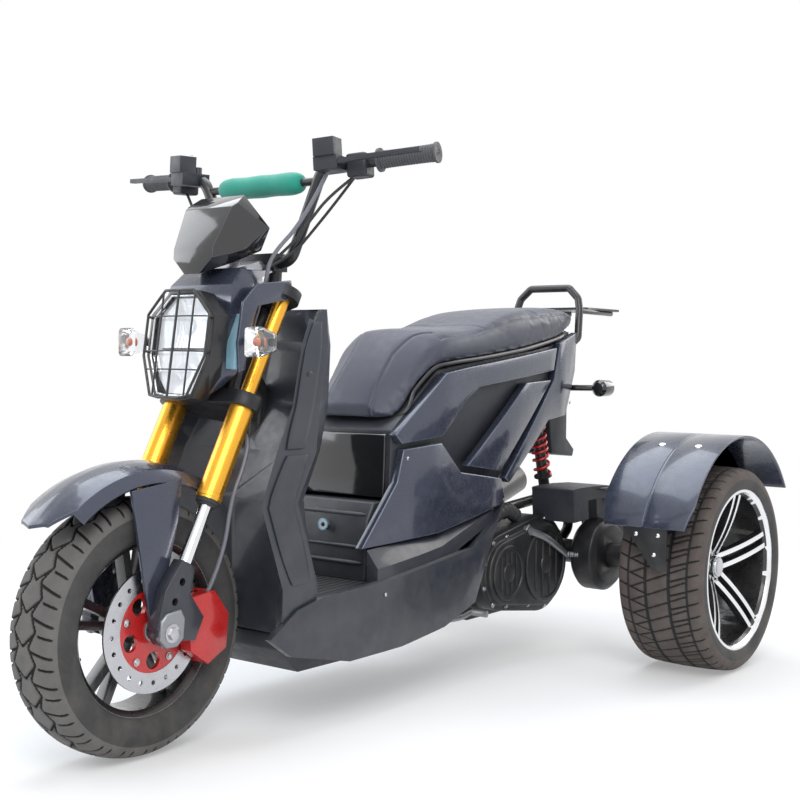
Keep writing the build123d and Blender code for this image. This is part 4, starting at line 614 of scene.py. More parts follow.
def hex_bolt(radius: float, height: float) -> Surface:
    """A hexagon head on a round washer.

    Each ring is a share of the height up and a share of the radius out. Its radius goes from a circle's to
    a hexagon's, which is the cosine of a twelfth of a turn over the cosine of the turn from the nearest flat.
    """
    angle = np.linspace(0.0, ROUND, 12, endpoint=False)
    twelfth = np.pi / 6.0
    hexagon = np.cos(twelfth) / np.cos((angle + twelfth) % (np.pi / 3.0) - twelfth)
    washer = [(0.0, 1.45, 0.0), (0.18, 1.45, 0.0), (0.22, 1.36, 0.0)]
    head = [(0.22, 1.0, 1.0), (0.9, 1.0, 1.0), (1.0, 0.82, 0.6)]
    rows = []
    for level, size, share in washer + head:
        reach = radius * size * (1.0 + share * (hexagon - 1.0))
        rows.append(placed(reach * np.cos(angle), reach * np.sin(angle), level * height))
    return grid(np.array(rows), wrap_columns=True, capped=True)


def dome(radius: float, height: float, columns: int = 20) -> Surface:
    """A round button sunk a little: radius times cosine, height times sine of nearly a quarter turn."""
    sunk = 0.5
    t = np.linspace(0.0, np.pi / 2.0 * 0.96, 6)
    profile = np.stack([height * np.sin(t), radius * np.cos(t)], axis=-1)
    return turned(np.vstack([(-sunk, radius), profile]), columns, np.zeros(3), UPWARD)


# Pieces


def vectors(items: bpy.types.bpy_prop_collection, value: str) -> np.ndarray:
    """A vector value of all points or faces of a mesh, one row each."""
    numbers = np.zeros(len(items) * 3)
    items.foreach_get(value, numbers)
    return numbers.reshape(-1, 3)


def bevelled(obj: bpy.types.Object, name: str, width: float, above: float) -> bpy.types.Modifier:
    """Round edges that are sharper than an angle in degrees, over a width in millimetres."""
    bevel = obj.modifiers.new(name, "BEVEL")
    bevel.width = width * MILLIMETRE
    bevel.segments = 2
    bevel.angle_limit = np.radians(above)
    return bevel


def settle(obj: bpy.types.Object) -> None:
    """Turn an object's live modifiers into its mesh."""
    made = bpy.data.meshes.new_from_object(obj.evaluated_get(bpy.context.evaluated_depsgraph_get()))
    obj.modifiers.clear()
    old = obj.data
    obj.data = made
    bpy.data.meshes.remove(old)


def tidied(mesh: bpy.types.Mesh, flat_degrees: float = 0.0) -> None:
    """Merge doubles, join flat neighbours where asked, and point every face outwards."""
    work = bmesh.new()
    work.from_mesh(mesh)
    bmesh.ops.remove_doubles(work, verts=work.verts, dist=2e-5)
    if flat_degrees:
        bmesh.ops.dissolve_limit(
            work, angle_limit=np.radians(flat_degrees), verts=work.verts, edges=work.edges
        )
    bmesh.ops.recalc_face_normals(work, faces=work.faces)
    work.to_mesh(mesh)
    work.free()


def shaded(mesh: bpy.types.Mesh, crease_degrees: float) -> None:
    """Smooth shading, with edges sharper than the crease kept sharp."""
    mesh.polygons.foreach_set("use_smooth", np.ones(len(mesh.polygons), bool))
    mesh.set_sharp_from_angle(angle=np.radians(crease_degrees))
    mesh.update()


def seated(
    obj: bpy.types.Object, finish: Finish, body: Body, replaced: tuple[str, ...] = ()
) -> bpy.types.Object:
    """Give a piece its finish, let it ride on its body and stand for the nodes it replaces."""
    if not obj.data.materials:
        obj.data.materials.append(finish.material())
    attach(obj, body.value)
    if replaced:
        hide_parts(*replaced)
    log.info("%s rides on %s in %s", obj.name, body.value, finish.name)
    return obj


def piece(
    name: str,
    surface: Surface,
    finish: Finish,
    body: Body,
    wall: float = 0.0,
    rounded: float = 0.0,
    crease: float = 38.0,
    replaced: tuple[str, ...] = (),
) -> bpy.types.Object:
    """Make a finished piece from a surface.

    Args:
        name: The piece's name.
        surface: Its points and faces.
        finish: Its finish.
        body: The body it rides on.
        wall: Thickness given to an open sheet, half to each side.
        rounded: Width of rounded edges.
        crease: Angle in degrees above which edges stay sharp.
        replaced: Nodes the piece stands for.

    Returns:
        The object.
    """
    mesh = bpy.data.meshes.new(name)
    mesh.from_pydata(in_row(surface.points).tolist(), [], surface.faces)
    obj = bpy.data.objects.new(name, mesh)
    bpy.context.scene.collection.objects.link(obj)
    tidied(mesh)
    if wall:
        thick = obj.modifiers.new("wall", "SOLIDIFY")
        thick.thickness = wall * MILLIMETRE
        thick.offset = 0.0
    if rounded:
        bevelled(obj, "rounded", rounded, 32.0)
    if obj.modifiers:
        settle(obj)
        tidied(obj.data)
    shaded(obj.data, crease)
    return seated(obj, finish, body, replaced)


def eased(
    node: str,
    finish: Finish,
    body: Body,
    width: float,
    edge: Finish | None = None,
    crease: float = 34.0,
    flat_degrees: float = 0.6,
) -> bpy.types.Object:
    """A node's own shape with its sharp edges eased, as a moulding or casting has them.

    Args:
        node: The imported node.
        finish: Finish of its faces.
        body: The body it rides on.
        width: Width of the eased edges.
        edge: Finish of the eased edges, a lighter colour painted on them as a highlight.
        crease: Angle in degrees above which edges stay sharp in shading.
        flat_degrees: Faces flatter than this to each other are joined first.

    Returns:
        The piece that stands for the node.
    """
    obj = bpy.data.objects.new(node + "_eased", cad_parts[node].data.copy())
    bpy.context.scene.collection.objects.link(obj)
    tidied(obj.data, flat_degrees)
    obj.data.materials.clear()
    obj.data.materials.append(finish.material())
    obj.data.polygons.foreach_set("material_index", np.zeros(len(obj.data.polygons), np.int32))
    bevel = bevelled(obj, "eased", width, 28.0)
    # Eased edges take the lighter finish as a painted highlight.
    if edge:
        obj.data.materials.append(edge.material())
        bevel.material = 1
    settle(obj)
    shaded(obj.data, crease)
    return seated(obj, finish, body, (node,))


def repainted(obj: bpy.types.Object, finish: Finish, low: Triple, high: Triple) -> None:
    """Give another finish to the faces whose middles lie in a box, and in its mirror image.

    Args:
        obj: The piece.
        finish: The finish of those faces.
        low: The box's lowest corner, in millimetres from the front axle.
        high: Its highest corner.
    """
    mesh = obj.data
    middles = from_row(vectors(mesh.polygons, "center"))
    middles[:, 0] = np.abs(middles[:, 0])
    inside = np.all((middles >= low) & (middles <= high), axis=1)
    index = np.zeros(len(mesh.polygons), np.int32)
    mesh.polygons.foreach_get("material_index", index)
    mesh.materials.append(finish.material())
    index[inside] = len(mesh.materials) - 1
    mesh.polygons.foreach_set("material_index", index)


def hung_cord(
    name: str,
    route: tuple[Triple, ...],
    diameter: float,
    finish: Finish,
    body: Body,
    replaced: tuple[str, ...] = (),
) -> bpy.types.Object:
    """A cable fixed at both ends: one open NURBS line of order three through its route's pull.

    Args:
        name: The cord's name.
        route: Its control points.
        diameter: Its thickness.
        finish: Its finish.
        body: The body it rides on.
        replaced: Nodes it stands for.

    Returns:
        The curve.
    """
    points = in_row(np.array(route))
    curve = bpy.data.curves.new(name, "CURVE")
    curve.dimensions = "3D"
    line = curve.splines.new("NURBS")
    line.points.add(len(points) - 1)
    line.points.foreach_set("co", np.column_stack([points, np.ones(len(points))]).ravel())
    line.order_u = 3
    line.use_endpoint_u = True
    line.resolution_u = 8
    obj = bpy.data.objects.new(name, curve)
    bpy.context.scene.collection.objects.link(obj)
    bare = bpy.data.meshes.new_from_object(obj.evaluated_get(bpy.context.evaluated_depsgraph_get()))
    trail = vectors(bare.vertices, "co")
    bpy.data.meshes.remove(bare)
    curve.bevel_depth = diameter / 2.0 * MILLIMETRE
    curve.bevel_resolution = 3
    curve.use_fill_caps = True
    seated(obj, finish, body, replaced)
    return obj


# Wheels


class Tread(Enum):
    """Tread patterns."""

    BLOCKS = "blocks"
    SLANTED = "slanted"


@dataclass
class TreadTyre:
    """A tyre whose crown and shoulders are cut by a tread."""

    name: str
    node: str
    body: Body
    centre: np.ndarray
    half_profile: Outline
    tread: Tread
    depth: float
    pitches: int
    steps_round: int
    steps_across: int
    faces: Finish

    def cut(self, angle: np.ndarray, across: np.ndarray) -> np.ndarray:
        """How deep the tread is cut, from 0 on a block to 1 in a groove.

        A groove is the band where a saw-tooth of the turn, leaned by the distance across, comes near its
        middle; ring grooves are bands round a zigzag of that distance. The deepest of the bands counts.

        Args:
            angle: Turn about the axle.
            across: Distance from the middle of the tread.

        Returns:
            The share of the full depth.
        """
        far = np.abs(across)
        turn = angle / ROUND * self.pitches
        pitch = ROUND * self.half_profile[-1][1] / self.pitches

        def band(distance: np.ndarray, width: float) -> np.ndarray:
            """1 within half a width of the line, falling to 0 over another millimetre and a half."""
            return np.clip((width / 2.0 + 1.5 - np.abs(distance)) / 1.5, 0.0, 1.0)

        def saw(value: np.ndarray) -> np.ndarray:
            """Signed distance to the nearest whole number, in millimetres round the tyre."""
            return (value - np.round(value)) * pitch

        if self.tread is Tread.BLOCKS:
            ring_at = 14.0
            notch_at = 34.0
            plain_at = 57.5
            zigzag = 28.0 * np.abs(saw(turn)) / pitch
            rings = band((far - ring_at - zigzag) * 0.9, 3.2)
            chevron = band(saw(turn + far * 0.016), 3.6) * (far < ring_at + 1.0 + zigzag)
            shoulder = band(saw(turn - far * 0.006), 3.4) * (far > ring_at + zigzag)
            notch = band(saw(turn + 0.5 - far * 0.004), 2.6) * (far > notch_at)
            cuts = np.maximum.reduce(np.broadcast_arrays(rings, chevron, shoulder, notch))
            return cuts * np.clip((plain_at - far) / 4.0, 0.0, 1.0)
        ring_at = 30.0
        rib_at = 34.0
        edge_at = 74.0
        plain_at = 101.0
        rings = np.maximum(band(far - ring_at, 4.5), band(far, 3.6))
        lean = band(saw(turn + across * 0.0125), 1.6) * (far < edge_at - 2.0)
        ribs = band(saw(turn + 0.5 + far * 0.010), 1.8) * (far > rib_at)
        edge = band(far - edge_at, 2.4) * 0.7
        cuts = np.maximum.reduce(np.broadcast_arrays(rings, lean, ribs, edge))
        return cuts * np.clip((plain_at - far) / 6.0, 0.0, 1.0)

    def build(self) -> bpy.types.Object:
        """Spin the profile about the axle, with its radius less the tread's depth.

        Returns:
            The tyre.
        """
        half = np.array(self.half_profile)
        outside = flowing(np.vstack([half * (-1.0, 1.0), half[-2::-1]]), self.steps_across)
        bead = np.array([(half[0, 0] * 0.98, half[0, 1]), (-half[0, 0] * 0.98, half[0, 1])])
        section = np.vstack([outside, bead])
        angle = np.linspace(0.0, ROUND, self.steps_round, endpoint=False)[:, None]
        across = section[:, 0][None, :]
        reach = section[:, 1][None, :]
        crown = np.clip((reach - half[-1][1] + 34.0) / 8.0, 0.0, 1.0)
        radius = reach - self.depth * crown * self.cut(angle, across)
        points = placed(across, radius * np.cos(angle), radius * np.sin(angle)) + self.centre
        surface = grid(points, wrap_rows=True, wrap_columns=True)
        tyre = piece(self.name, surface, TYRE_RUBBER, self.body, crease=50.0, replaced=(self.node,))
        self.paint_tread(tyre)
        return tyre

    def paint_tread(self, tyre: bpy.types.Object) -> None:
        """Dusty tread faces; each point keeps the share of the depth it is cut, for the painted shade in the
        grooves.
        """
        mesh = tyre.data
        tread_edge = self.half_profile[-1][1] - 28.0
        points = from_row(vectors(mesh.vertices, "co")) - self.centre
        share = self.cut(np.arctan2(points[:, 2], points[:, 1]) % ROUND, points[:, 0])
        share = share * (np.hypot(points[:, 1], points[:, 2]) > tread_edge)
        kept = mesh.attributes.new("tread_cut", "FLOAT", "POINT")
        kept.data.foreach_set("value", share.astype(np.float32))
        middles = from_row(vectors(mesh.polygons, "center")) - self.centre
        outside = np.hypot(middles[:, 1], middles[:, 2]) > tread_edge
        mesh.materials.append(self.faces.material())
        mesh.polygons.foreach_set("material_index", outside.astype(np.int32))


@dataclass
class FrontWheel:
    """Front tyre, cast rim and brake disc."""

    hub: np.ndarray = field(default_factory=lambda: FRONT_HUB)
    tyre: Outline = (
        (42.0, 156.0), (54.0, 168.0), (60.0, 190.0), (60.5, 204.0), (56.0, 220.0), (47.0, 229.5),
        (26.0, 236.2), (0.0, 238.0),
    )
    lip_radius: float = 160.0
    lip_half: float = 38.0
    bolt_circle: float = 66.0
    bolt_count: int = 5
    bolt_turn: float = 0.3
    disc_face: float = 62.0
    left_cap: float = 61.0
    right_cap: float = 52.0
    cap: Outline = ((-2.0, 22.0), (3.0, 22.0), (4.5, 20.0), (4.5, 17.0), (3.0, 16.0), (3.0, 13.0))
    valve_turn: float = 200.0
    valve_radius: float = 152.0
    stem: Outline = ((0.0, 5.0), (3.0, 5.0), (4.0, 3.2), (18.0, 3.0), (19.0, 3.8), (28.0, 3.8), (29.0, 2.6))

    def build(self) -> None:
        """Make the wheel's pieces."""
        TreadTyre(
            "front_tread", "front_tyre", Body.FRONT_WHEEL, self.hub, self.tyre, Tread.BLOCKS,
            depth=4.6, pitches=26, steps_round=806, steps_across=120, faces=TREAD_TOP,
        ).build()
        rim = eased("front_rim", RIM_BLACK, Body.FRONT_WHEEL, 1.6)
        self.polish_lips(rim)
        self.disc_bolts()
        self.hub_caps()
        self.valve()

    def polish_lips(self, rim: bpy.types.Object) -> None:
        """Machined bands round the rim's edge: the faces near the lip's radius."""
        mesh = rim.data
        middles = from_row(vectors(mesh.polygons, "center")) - self.hub
        radius = np.hypot(middles[:, 1], middles[:, 2])
        index = ((radius > self.lip_radius) & (np.abs(middles[:, 0]) > self.lip_half)).astype(np.int32)
        mesh.materials.append(STEEL.material())
        mesh.polygons.foreach_set("material_index", index)

    def disc_bolts(self) -> None:
        """Bolts that hold the disc carrier, evenly round a circle."""
        turn = np.linspace(0.0, ROUND, self.bolt_count, endpoint=False) + self.bolt_turn
        places = round_axle(self.hub + self.disc_face * TO_LEFT, self.bolt_circle, turn)
        piece("disc_bolts", stamped(hex_bolt(5.0, 4.0), places, TO_LEFT), STEEL, Body.FRONT_WHEEL)

    def hub_caps(self) -> None:
        """A stepped cap on each side of the hub."""
        left = turned(self.cap, 32, self.hub + self.left_cap * TO_LEFT)
        right = turned(self.cap, 32, self.hub - self.right_cap * TO_LEFT, -TO_LEFT)
        piece("front_hub_caps", together(left, right), GREY_CAST, Body.FRONT_WHEEL)

    def valve(self) -> None:
        """Tyre valve in the rim's well."""
        lean = np.radians(self.valve_turn)
        away = np.array([0.0, np.cos(lean), np.sin(lean)])
        stem = turned(self.stem, 12, self.hub + self.valve_radius * away, -away)
        piece("front_valve", stem, RUBBER, Body.FRONT_WHEEL)


@dataclass
class RearWheel:
    """One wide rear wheel: tyre, machined rim with a black barrel, nuts and cap."""

    side: Side
    x: float = 508.0
    hub_z: float = 243.0
    tyre: Outline = (
        (92.0, 181.0), (101.0, 192.0), (104.6, 208.0), (103.5, 224.0), (98.0, 234.0), (86.0, 239.5),
        (45.0, 242.2), (0.0, 243.0),
    )
    nut_circle: float = 34.0
    nut_face: float = 28.0
    nut_count: int = 5
    lip_radius: float = 178.0
    lip_from: float = 78.0
    cut_above: float = 0.55
    cap_face: float = 40.0
    dish: Outline = ((0.0, 24.0), (3.0, 24.0), (5.0, 22.5), (5.4, 20.0), (4.2, 17.0), (3.4, 9.0), (3.2, 2.0))

    @property
    def hub(self) -> np.ndarray:
        """The wheel's middle."""
        return np.array([self.side.value * self.x, WHEELBASE, self.hub_z])

    @property
    def body(self) -> Body:
        """The body the wheel is."""
        return Body.WHEEL_LEFT if self.side is Side.LEFT else Body.WHEEL_RIGHT

    def build(self) -> None:
        """Make the wheel's pieces."""
        name = self.side.name.lower()
        TreadTyre(
            f"rear_tread_{name}", f"rear_tyre_{name}", self.body, self.hub, self.tyre, Tread.SLANTED,
            depth=3.6, pitches=46, steps_round=736, steps_across=100, faces=WORN_TREAD_TOP,
        ).build()
        rim = eased(f"rear_rim_{name}", MACHINED, self.body, 1.4)
        self.blacken(rim)
        self.nuts(name)
        self.cap(name)

    def blacken(self, rim: bpy.types.Object) -> None:
        """Black paint on all but the faces that look outwards and the lip, as a cutter leaves them."""
        mesh = rim.data
        middles = from_row(vectors(mesh.polygons, "center")) - self.hub
        facing = vectors(mesh.polygons, "normal")[:, 0] * self.side.value
        out = middles[:, 0] * self.side.value
        radius = np.hypot(middles[:, 1], middles[:, 2])
        cut_face = (facing > self.cut_above) & (out > 0.0)
        lip = (radius > self.lip_radius) & (out > self.lip_from)
        index = (~(cut_face | lip)).astype(np.int32)
        mesh.materials.append(RIM_BLACK.material())
        mesh.polygons.foreach_set("material_index", index)

    def nuts(self, name: str) -> None:
        """Wheel nuts evenly round the hub's face."""
        turn = np.linspace(0.0, ROUND, self.nut_count, endpoint=False)
        out = self.side.value * TO_LEFT
        places = round_axle(self.hub + self.nut_face * out, self.nut_circle, turn)
        piece(f"wheel_nuts_{name}", stamped(hex_bolt(5.5, 8.0), places, out), STEEL, self.body)

    def cap(self, name: str) -> None:
        """Blank hub cap: a shallow dished disc."""
        out = self.side.value * TO_LEFT
        disc = turned(self.dish, 36, self.hub + self.cap_face * out, out)
        piece(f"hub_cap_{name}", disc, SILVER_TRIM, self.body)


# Front end


@dataclass
class Fork:
    """Eased yokes, lower legs and caliper, with seals, collars, caps, nuts, clamps and bolts."""

    half_spacing: float = 92.0
    lead: float = -13.0
    seal_at: float = 252.0
    collar_above: float = 4.0
    cap_at: float = 691.0
    clamp_face: float = 112.0
    seal: Outline = (
        (-12.0, 14.0), (-12.0, 17.0), (-8.0, 19.0), (-7.0, 22.0), (-1.0, 23.0), (0.5, 23.0), (0.5, 14.0),
    )
    collar: Outline = ((0.0, 24.2), (1.0, 25.2), (9.0, 25.2), (10.0, 24.2))
    clamp: Outline = (
        (-24.0, 24.0), (-10.0, 36.0), (24.0, 40.0), (34.0, 26.0), (30.0, -14.0), (14.0, -27.0),
        (-12.0, -27.0), (-27.0, -10.0),
    )
    caliper_holds: tuple[Triple, ...] = ((88.0, 92.0, 286.0), (88.0, 96.0, 236.0), (88.0, 130.0, 272.0))

    def build(self) -> None:
        """Make the fork's pieces."""
        for node, finish, width in (
            ("fork_lowers", LEG_PAINT, 2.2), ("lower_yoke", DARK_CAST, 2.0), ("upper_yoke", DARK_CAST, 2.0),
            ("brake_caliper", RED, 2.0),
        ):
            eased(node, finish, Body.STEERING, width)
        self.seals()
        self.caps()
        self.axle_nuts()
        self.clamps()
        self.caliper_bolts()

    def on_legs(self, up: float) -> np.ndarray:
        """The points on both legs' middle lines at one height up the fork."""
        return np.array([on_fork(side.value * self.half_spacing, self.lead, up) for side in Side])

    def ring(self, up: float, profile: Outline) -> Surface:
        """One turned ring on each leg."""
        return together(*(turned(profile, 32, middle, FORK_UP) for middle in self.on_legs(up)))

    def seals(self) -> None:
        """Stepped black dust seals under the gold tubes, and a gold collar above each."""
        piece("fork_seals", self.ring(self.seal_at, self.seal), RUBBER, Body.STEERING)
        collars = self.ring(self.seal_at + self.collar_above, self.collar)
        piece("fork_collars", collars, GOLD, Body.STEERING)

    def caps(self) -> None:
        """Hexagon caps on the legs' tops."""
        caps = stamped(hex_bolt(9.0, 7.0), self.on_legs(self.cap_at), FORK_UP)
        piece("fork_caps", caps, GREY_CAST, Body.STEERING)

    def axle_nuts(self) -> None:
        """A nut on each end of the front axle."""
        places = np.array([FRONT_HUB + side.value * self.clamp_face * TO_LEFT for side in Side])
        nuts = stamped(hex_bolt(12.0, 9.0), places, outward(places))
        piece("axle_nuts", nuts, STEEL, Body.STEERING)

    def caliper_bolts(self) -> None:
        """The bolts of the brake caliper."""
        bolts = stamped(hex_bolt(5.0, 4.5), np.array(self.caliper_holds), TO_LEFT)
        piece("caliper_bolts", bolts, STEEL, Body.STEERING)

    def clamps(self) -> None:
        """Bright axle clamps on the legs' feet: a many-sided block that steps in towards its outer face."""
        outline = np.array(self.clamp)
        rows = [(self.clamp_face - 14.0, 1.0), (self.clamp_face - 3.0, 1.0), (self.clamp_face, 0.90)]
        rings = [placed(x, *(outline * share + FRONT_HUB[1:]).T) for x, share in rows]
        left = grid(np.array(rings), wrap_columns=True, capped=True)
        piece("axle_clamps", pair(left), GREY_CAST, Body.STEERING, rounded=1.6)


@dataclass
class FrontFender:
    """Pointed front fender and its struts, with the screws that hold them."""

    screw_x: float = 75.8
    screws: Outline = ((12.0, 474.0), (-30.0, 474.0), (0.0, 300.0))

    def build(self) -> None:
        """Make the fender's pieces."""
        eased("front_fender", PAINT, Body.STEERING, 1.2, PAINT_EDGE_HIGHLIGHT, crease=50.0, flat_degrees=0.2)
        eased("fender_struts", PAINT, Body.STEERING, 1.6, PAINT_EDGE_HIGHLIGHT)
        places = np.array([(side.value * self.screw_x, y, z) for side in Side for y, z in self.screws])
        screws = stamped(hex_bolt(4.2, 3.0), places, outward(places))
        piece("fender_screws", screws, STEEL, Body.STEERING)


@dataclass
class Headlamp:
    """Octagonal lamp: reflector bowls behind the clear cover, guard, visor, arms and signals."""

    low: Triple = (0.0, 100.0, 652.0)
    tilt: float = 0.15
    height: float = 211.0
    half: float = 74.0
    depth: float = 27.0
    rings: int = 26
    columns: int = 96
    bezel: tuple[Triple, Triple] = ((0.0, 84.0, 640.0), (90.0, 150.0, 868.0))
    signal_base: tuple[Triple, Triple] = ((80.0, 100.0, 700.0), (150.0, 300.0, 800.0))
    guard_half: float = 84.0
    upper_bowl: float = 0.68
    lower_bowl: float = 0.27
    bar_share: float = 0.47
    signal_bulb: Triple = (176.0, 152.0, 762.0)
    gauge_middle: Triple = (0.0, 247.0, 1017.0)
    gauge_half: tuple[float, float] = (48.0, 26.0)

    def on_face(self, x: np.ndarray, up: np.ndarray, deep: np.ndarray) -> np.ndarray:
        """Points of the lamp's own plane: across, up its slope and behind its face."""
        out = np.array([0.0, -1.0, self.tilt]) / np.hypot(1.0, self.tilt)
        rise = np.array([0.0, self.tilt, 1.0]) / np.hypot(1.0, self.tilt)
        return np.array(self.low) + x[..., None] * TO_LEFT + up[..., None] * rise - deep[..., None] * out

    def build(self) -> None:
        """Make the lamp's pieces."""
        shell = eased("headlamp_shell", PAINT, Body.STEERING, 1.6, PAINT_EDGE_HIGHLIGHT)
        repainted(shell, BLACK_METAL, *self.bezel)
        self.guard()
        eased("meter_visor", SMOKE, Body.STEERING, 2.2, CHARCOAL_EDGE_HIGHLIGHT)
        eased("lamp_arms", PAINT, Body.STEERING, 1.2, PAINT_EDGE_HIGHLIGHT)
        eased("side_lenses", BLUE_LENS, Body.STEERING, 1.2)
        signals = eased("front_signals", CLEAR, Body.STEERING, 2.5)
        repainted(signals, CHARCOAL, *self.signal_base)
        self.reflector()
        self.lights()
        self.gauge()

    def guard(self) -> None:
        """Wire guard: a bowed ring round the octagon, three uprights, three thinner levels and its feet.

        Each wire stands off the face by a share of one less the square of its distance across. A bright
        rim lies on the face inside the guard.
        """
        half = self.guard_half
        top = self.height - 3.0
        shares = [(0.30, 0.01), (0.60, 0.03), (1.0, 0.40), (1.0, 0.78), (0.46, 1.0)]
        corners = np.array(shares + [(-x, z) for x, z in shares[::-1]]) * (half, top)
        outline = np.vstack([corners, corners[:1]])
        steps = np.linspace(0.0, len(corners), 141)[:-1]
        ring_x = np.interp(steps, np.arange(len(outline)), outline[:, 0])
        ring_up = np.interp(steps, np.arange(len(outline)), outline[:, 1])

        def bowed(x: np.ndarray) -> np.ndarray:
            """Depth in front of the face, most in the middle."""
            return -11.0 - 5.0 * (1.0 - (x / half) ** 2)

        wires = [carried(self.on_face(ring_x, ring_up, bowed(ring_x)), 2.8, 10, closed=True)]
        for x, low, high, size in ((0.0, 0.01, 1.0, 2.6), (-43.0, 0.02, 0.97, 2.0), (43.0, 0.02, 0.97, 2.0)):
            up = np.linspace(low, high, 24) * top
            across = np.full(24, x)
            wires.append(carried(self.on_face(across, up, bowed(across)), size, 10))
        for share, reach in ((0.27, 0.84), (0.44, 0.98), (0.76, 0.98)):
            across = np.linspace(-reach, reach, 24) * half
            wires.append(carried(self.on_face(across, np.full(24, share * top), bowed(across)), 1.5, 10))
        for x, share in ((1.0, 0.44), (1.0, 0.76), (-1.0, 0.44), (-1.0, 0.76)):
            across = np.full(6, x * (half - 1.0))
            foot = self.on_face(across, np.full(6, share * top), np.linspace(-11.0, 1.0, 6))
            wires.append(carried(foot, 2.6, 10))
        piece(
            "lamp_guard", together(*wires), BLACK_METAL, Body.STEERING, crease=70.0,
            replaced=("headlamp_grille",),
        )
        line = self.on_face(ring_x * 0.905, ring_up * 0.93 + 6.5, np.full(len(steps), -0.6))
        rim = carried(line, 1.8, 8, closed=True)
        piece("lamp_rim", rim, CHROME, Body.STEERING, crease=70.0)

    def reflector(self) -> None:
        """Mirrored back of the lamp, with a painted glow that stands for its reflections.

        On rings from the middle to an octagon's edge, the depth is full less the wall of two bowls, each a
        parabola of the distance to its own middle, with a low step between them.
        """
        angle = np.linspace(0.0, ROUND, self.columns, endpoint=False)[None, :]
        corners = np.radians([0.0, 90.0, 180.0, 270.0, 42.0, 138.0, 222.0, 318.0])
        reach = np.array([0.98, 1.0, 0.98, 1.0, 0.98, 0.98, 0.92, 0.92]) * 92.0
        spread = np.cos(angle - corners[:, None])
        edge = np.min(np.where(spread > 0.05, reach[:, None] / np.maximum(spread, 0.05), 1e4), axis=0)
        edge = np.minimum(edge, 0.94 * self.half / np.maximum(np.abs(np.cos(angle[0])), 1e-3))
        share = np.linspace(0.0, 1.0, self.rings)[:, None]
        x = share * edge * np.cos(angle)
        up = self.height * 0.5 + share * edge * np.sin(angle)
        top = np.hypot(x, up - self.height * self.upper_bowl) / 58.0
        bottom = np.hypot(x, up - self.height * self.lower_bowl) / 52.0
        bowl = np.clip(np.minimum(top, bottom), 0.0, 1.0) ** 2
        ripple = 0.6 * np.cos(x * ROUND / 9.0)
        deep = self.depth - 11.0 * bowl + ripple * (bowl < 1.0)
        bowls = grid(self.on_face(x, up, deep), wrap_columns=True)
        piece("lamp_reflector", bowls, MIRROR_WITH_PAINTED_GLOW, Body.STEERING, wall=1.0)

    def lights(self) -> None:
        """Two lamp bulbs, a bar between them and the signals' bulbs."""
        out = np.array([0.0, -1.0, self.tilt])
        up = np.array([self.upper_bowl, self.lower_bowl]) * self.height
        middles = self.on_face(np.zeros(2), up, np.full(2, self.depth))
        piece("lamp_bulbs", stamped(dome(17.0, 11.0, 28), middles, out), CLEAR, Body.STEERING)
        across = np.linspace(-58.0, 58.0, 24)
        bar = self.on_face(across, np.full(24, self.bar_share * self.height), np.full(24, 17.0))
        piece("lamp_bar", carried(bar, 2.6, 10), CHARCOAL, Body.STEERING)
        places = np.array([self.signal_bulb, self.signal_bulb * MIRROR])
        piece("signal_bulbs", stamped(dome(8.5, 13.0, 20), places, TO_FRONT), AMBER, Body.STEERING)

    def gauge(self) -> None:
        """Blank instrument glass in a raised frame on the visor's rear slope.

        Each ring is a squared circle: the cosine and sine over the fifth root of the sum of their fifth
        powers, times a share of the half width and height, at a height off the slope.
        """
        out = np.array([0.0, 0.853, 0.523])
        rise = np.array([0.0, -0.523, 0.853])
        angle = np.linspace(0.0, ROUND, 48, endpoint=False)[:, None]
        square = (np.abs(np.cos(angle)) ** 5 + np.abs(np.sin(angle)) ** 5) ** -0.2
        wide, high = self.gauge_half
        rows = [(1.0, -3.0), (1.0, 1.5), (0.97, 3.0), (0.90, 3.0), (0.87, 1.5)]
        ring = np.array([
            wide * s * np.cos(angle) * square * TO_LEFT + high * s * np.sin(angle) * square * rise + h * out
            for s, h in rows
        ])
        middle = np.array(self.gauge_middle)
        piece("gauge_frame", grid(ring + middle, wrap_columns=True, capped=True), CHARCOAL, Body.STEERING)
        face = ring[3] * 0.97 + np.array([0.0, 0.6])[:, None, None] * out
        piece("gauge_glass", grid(face + middle, wrap_columns=True, capped=True), SCREEN, Body.STEERING)


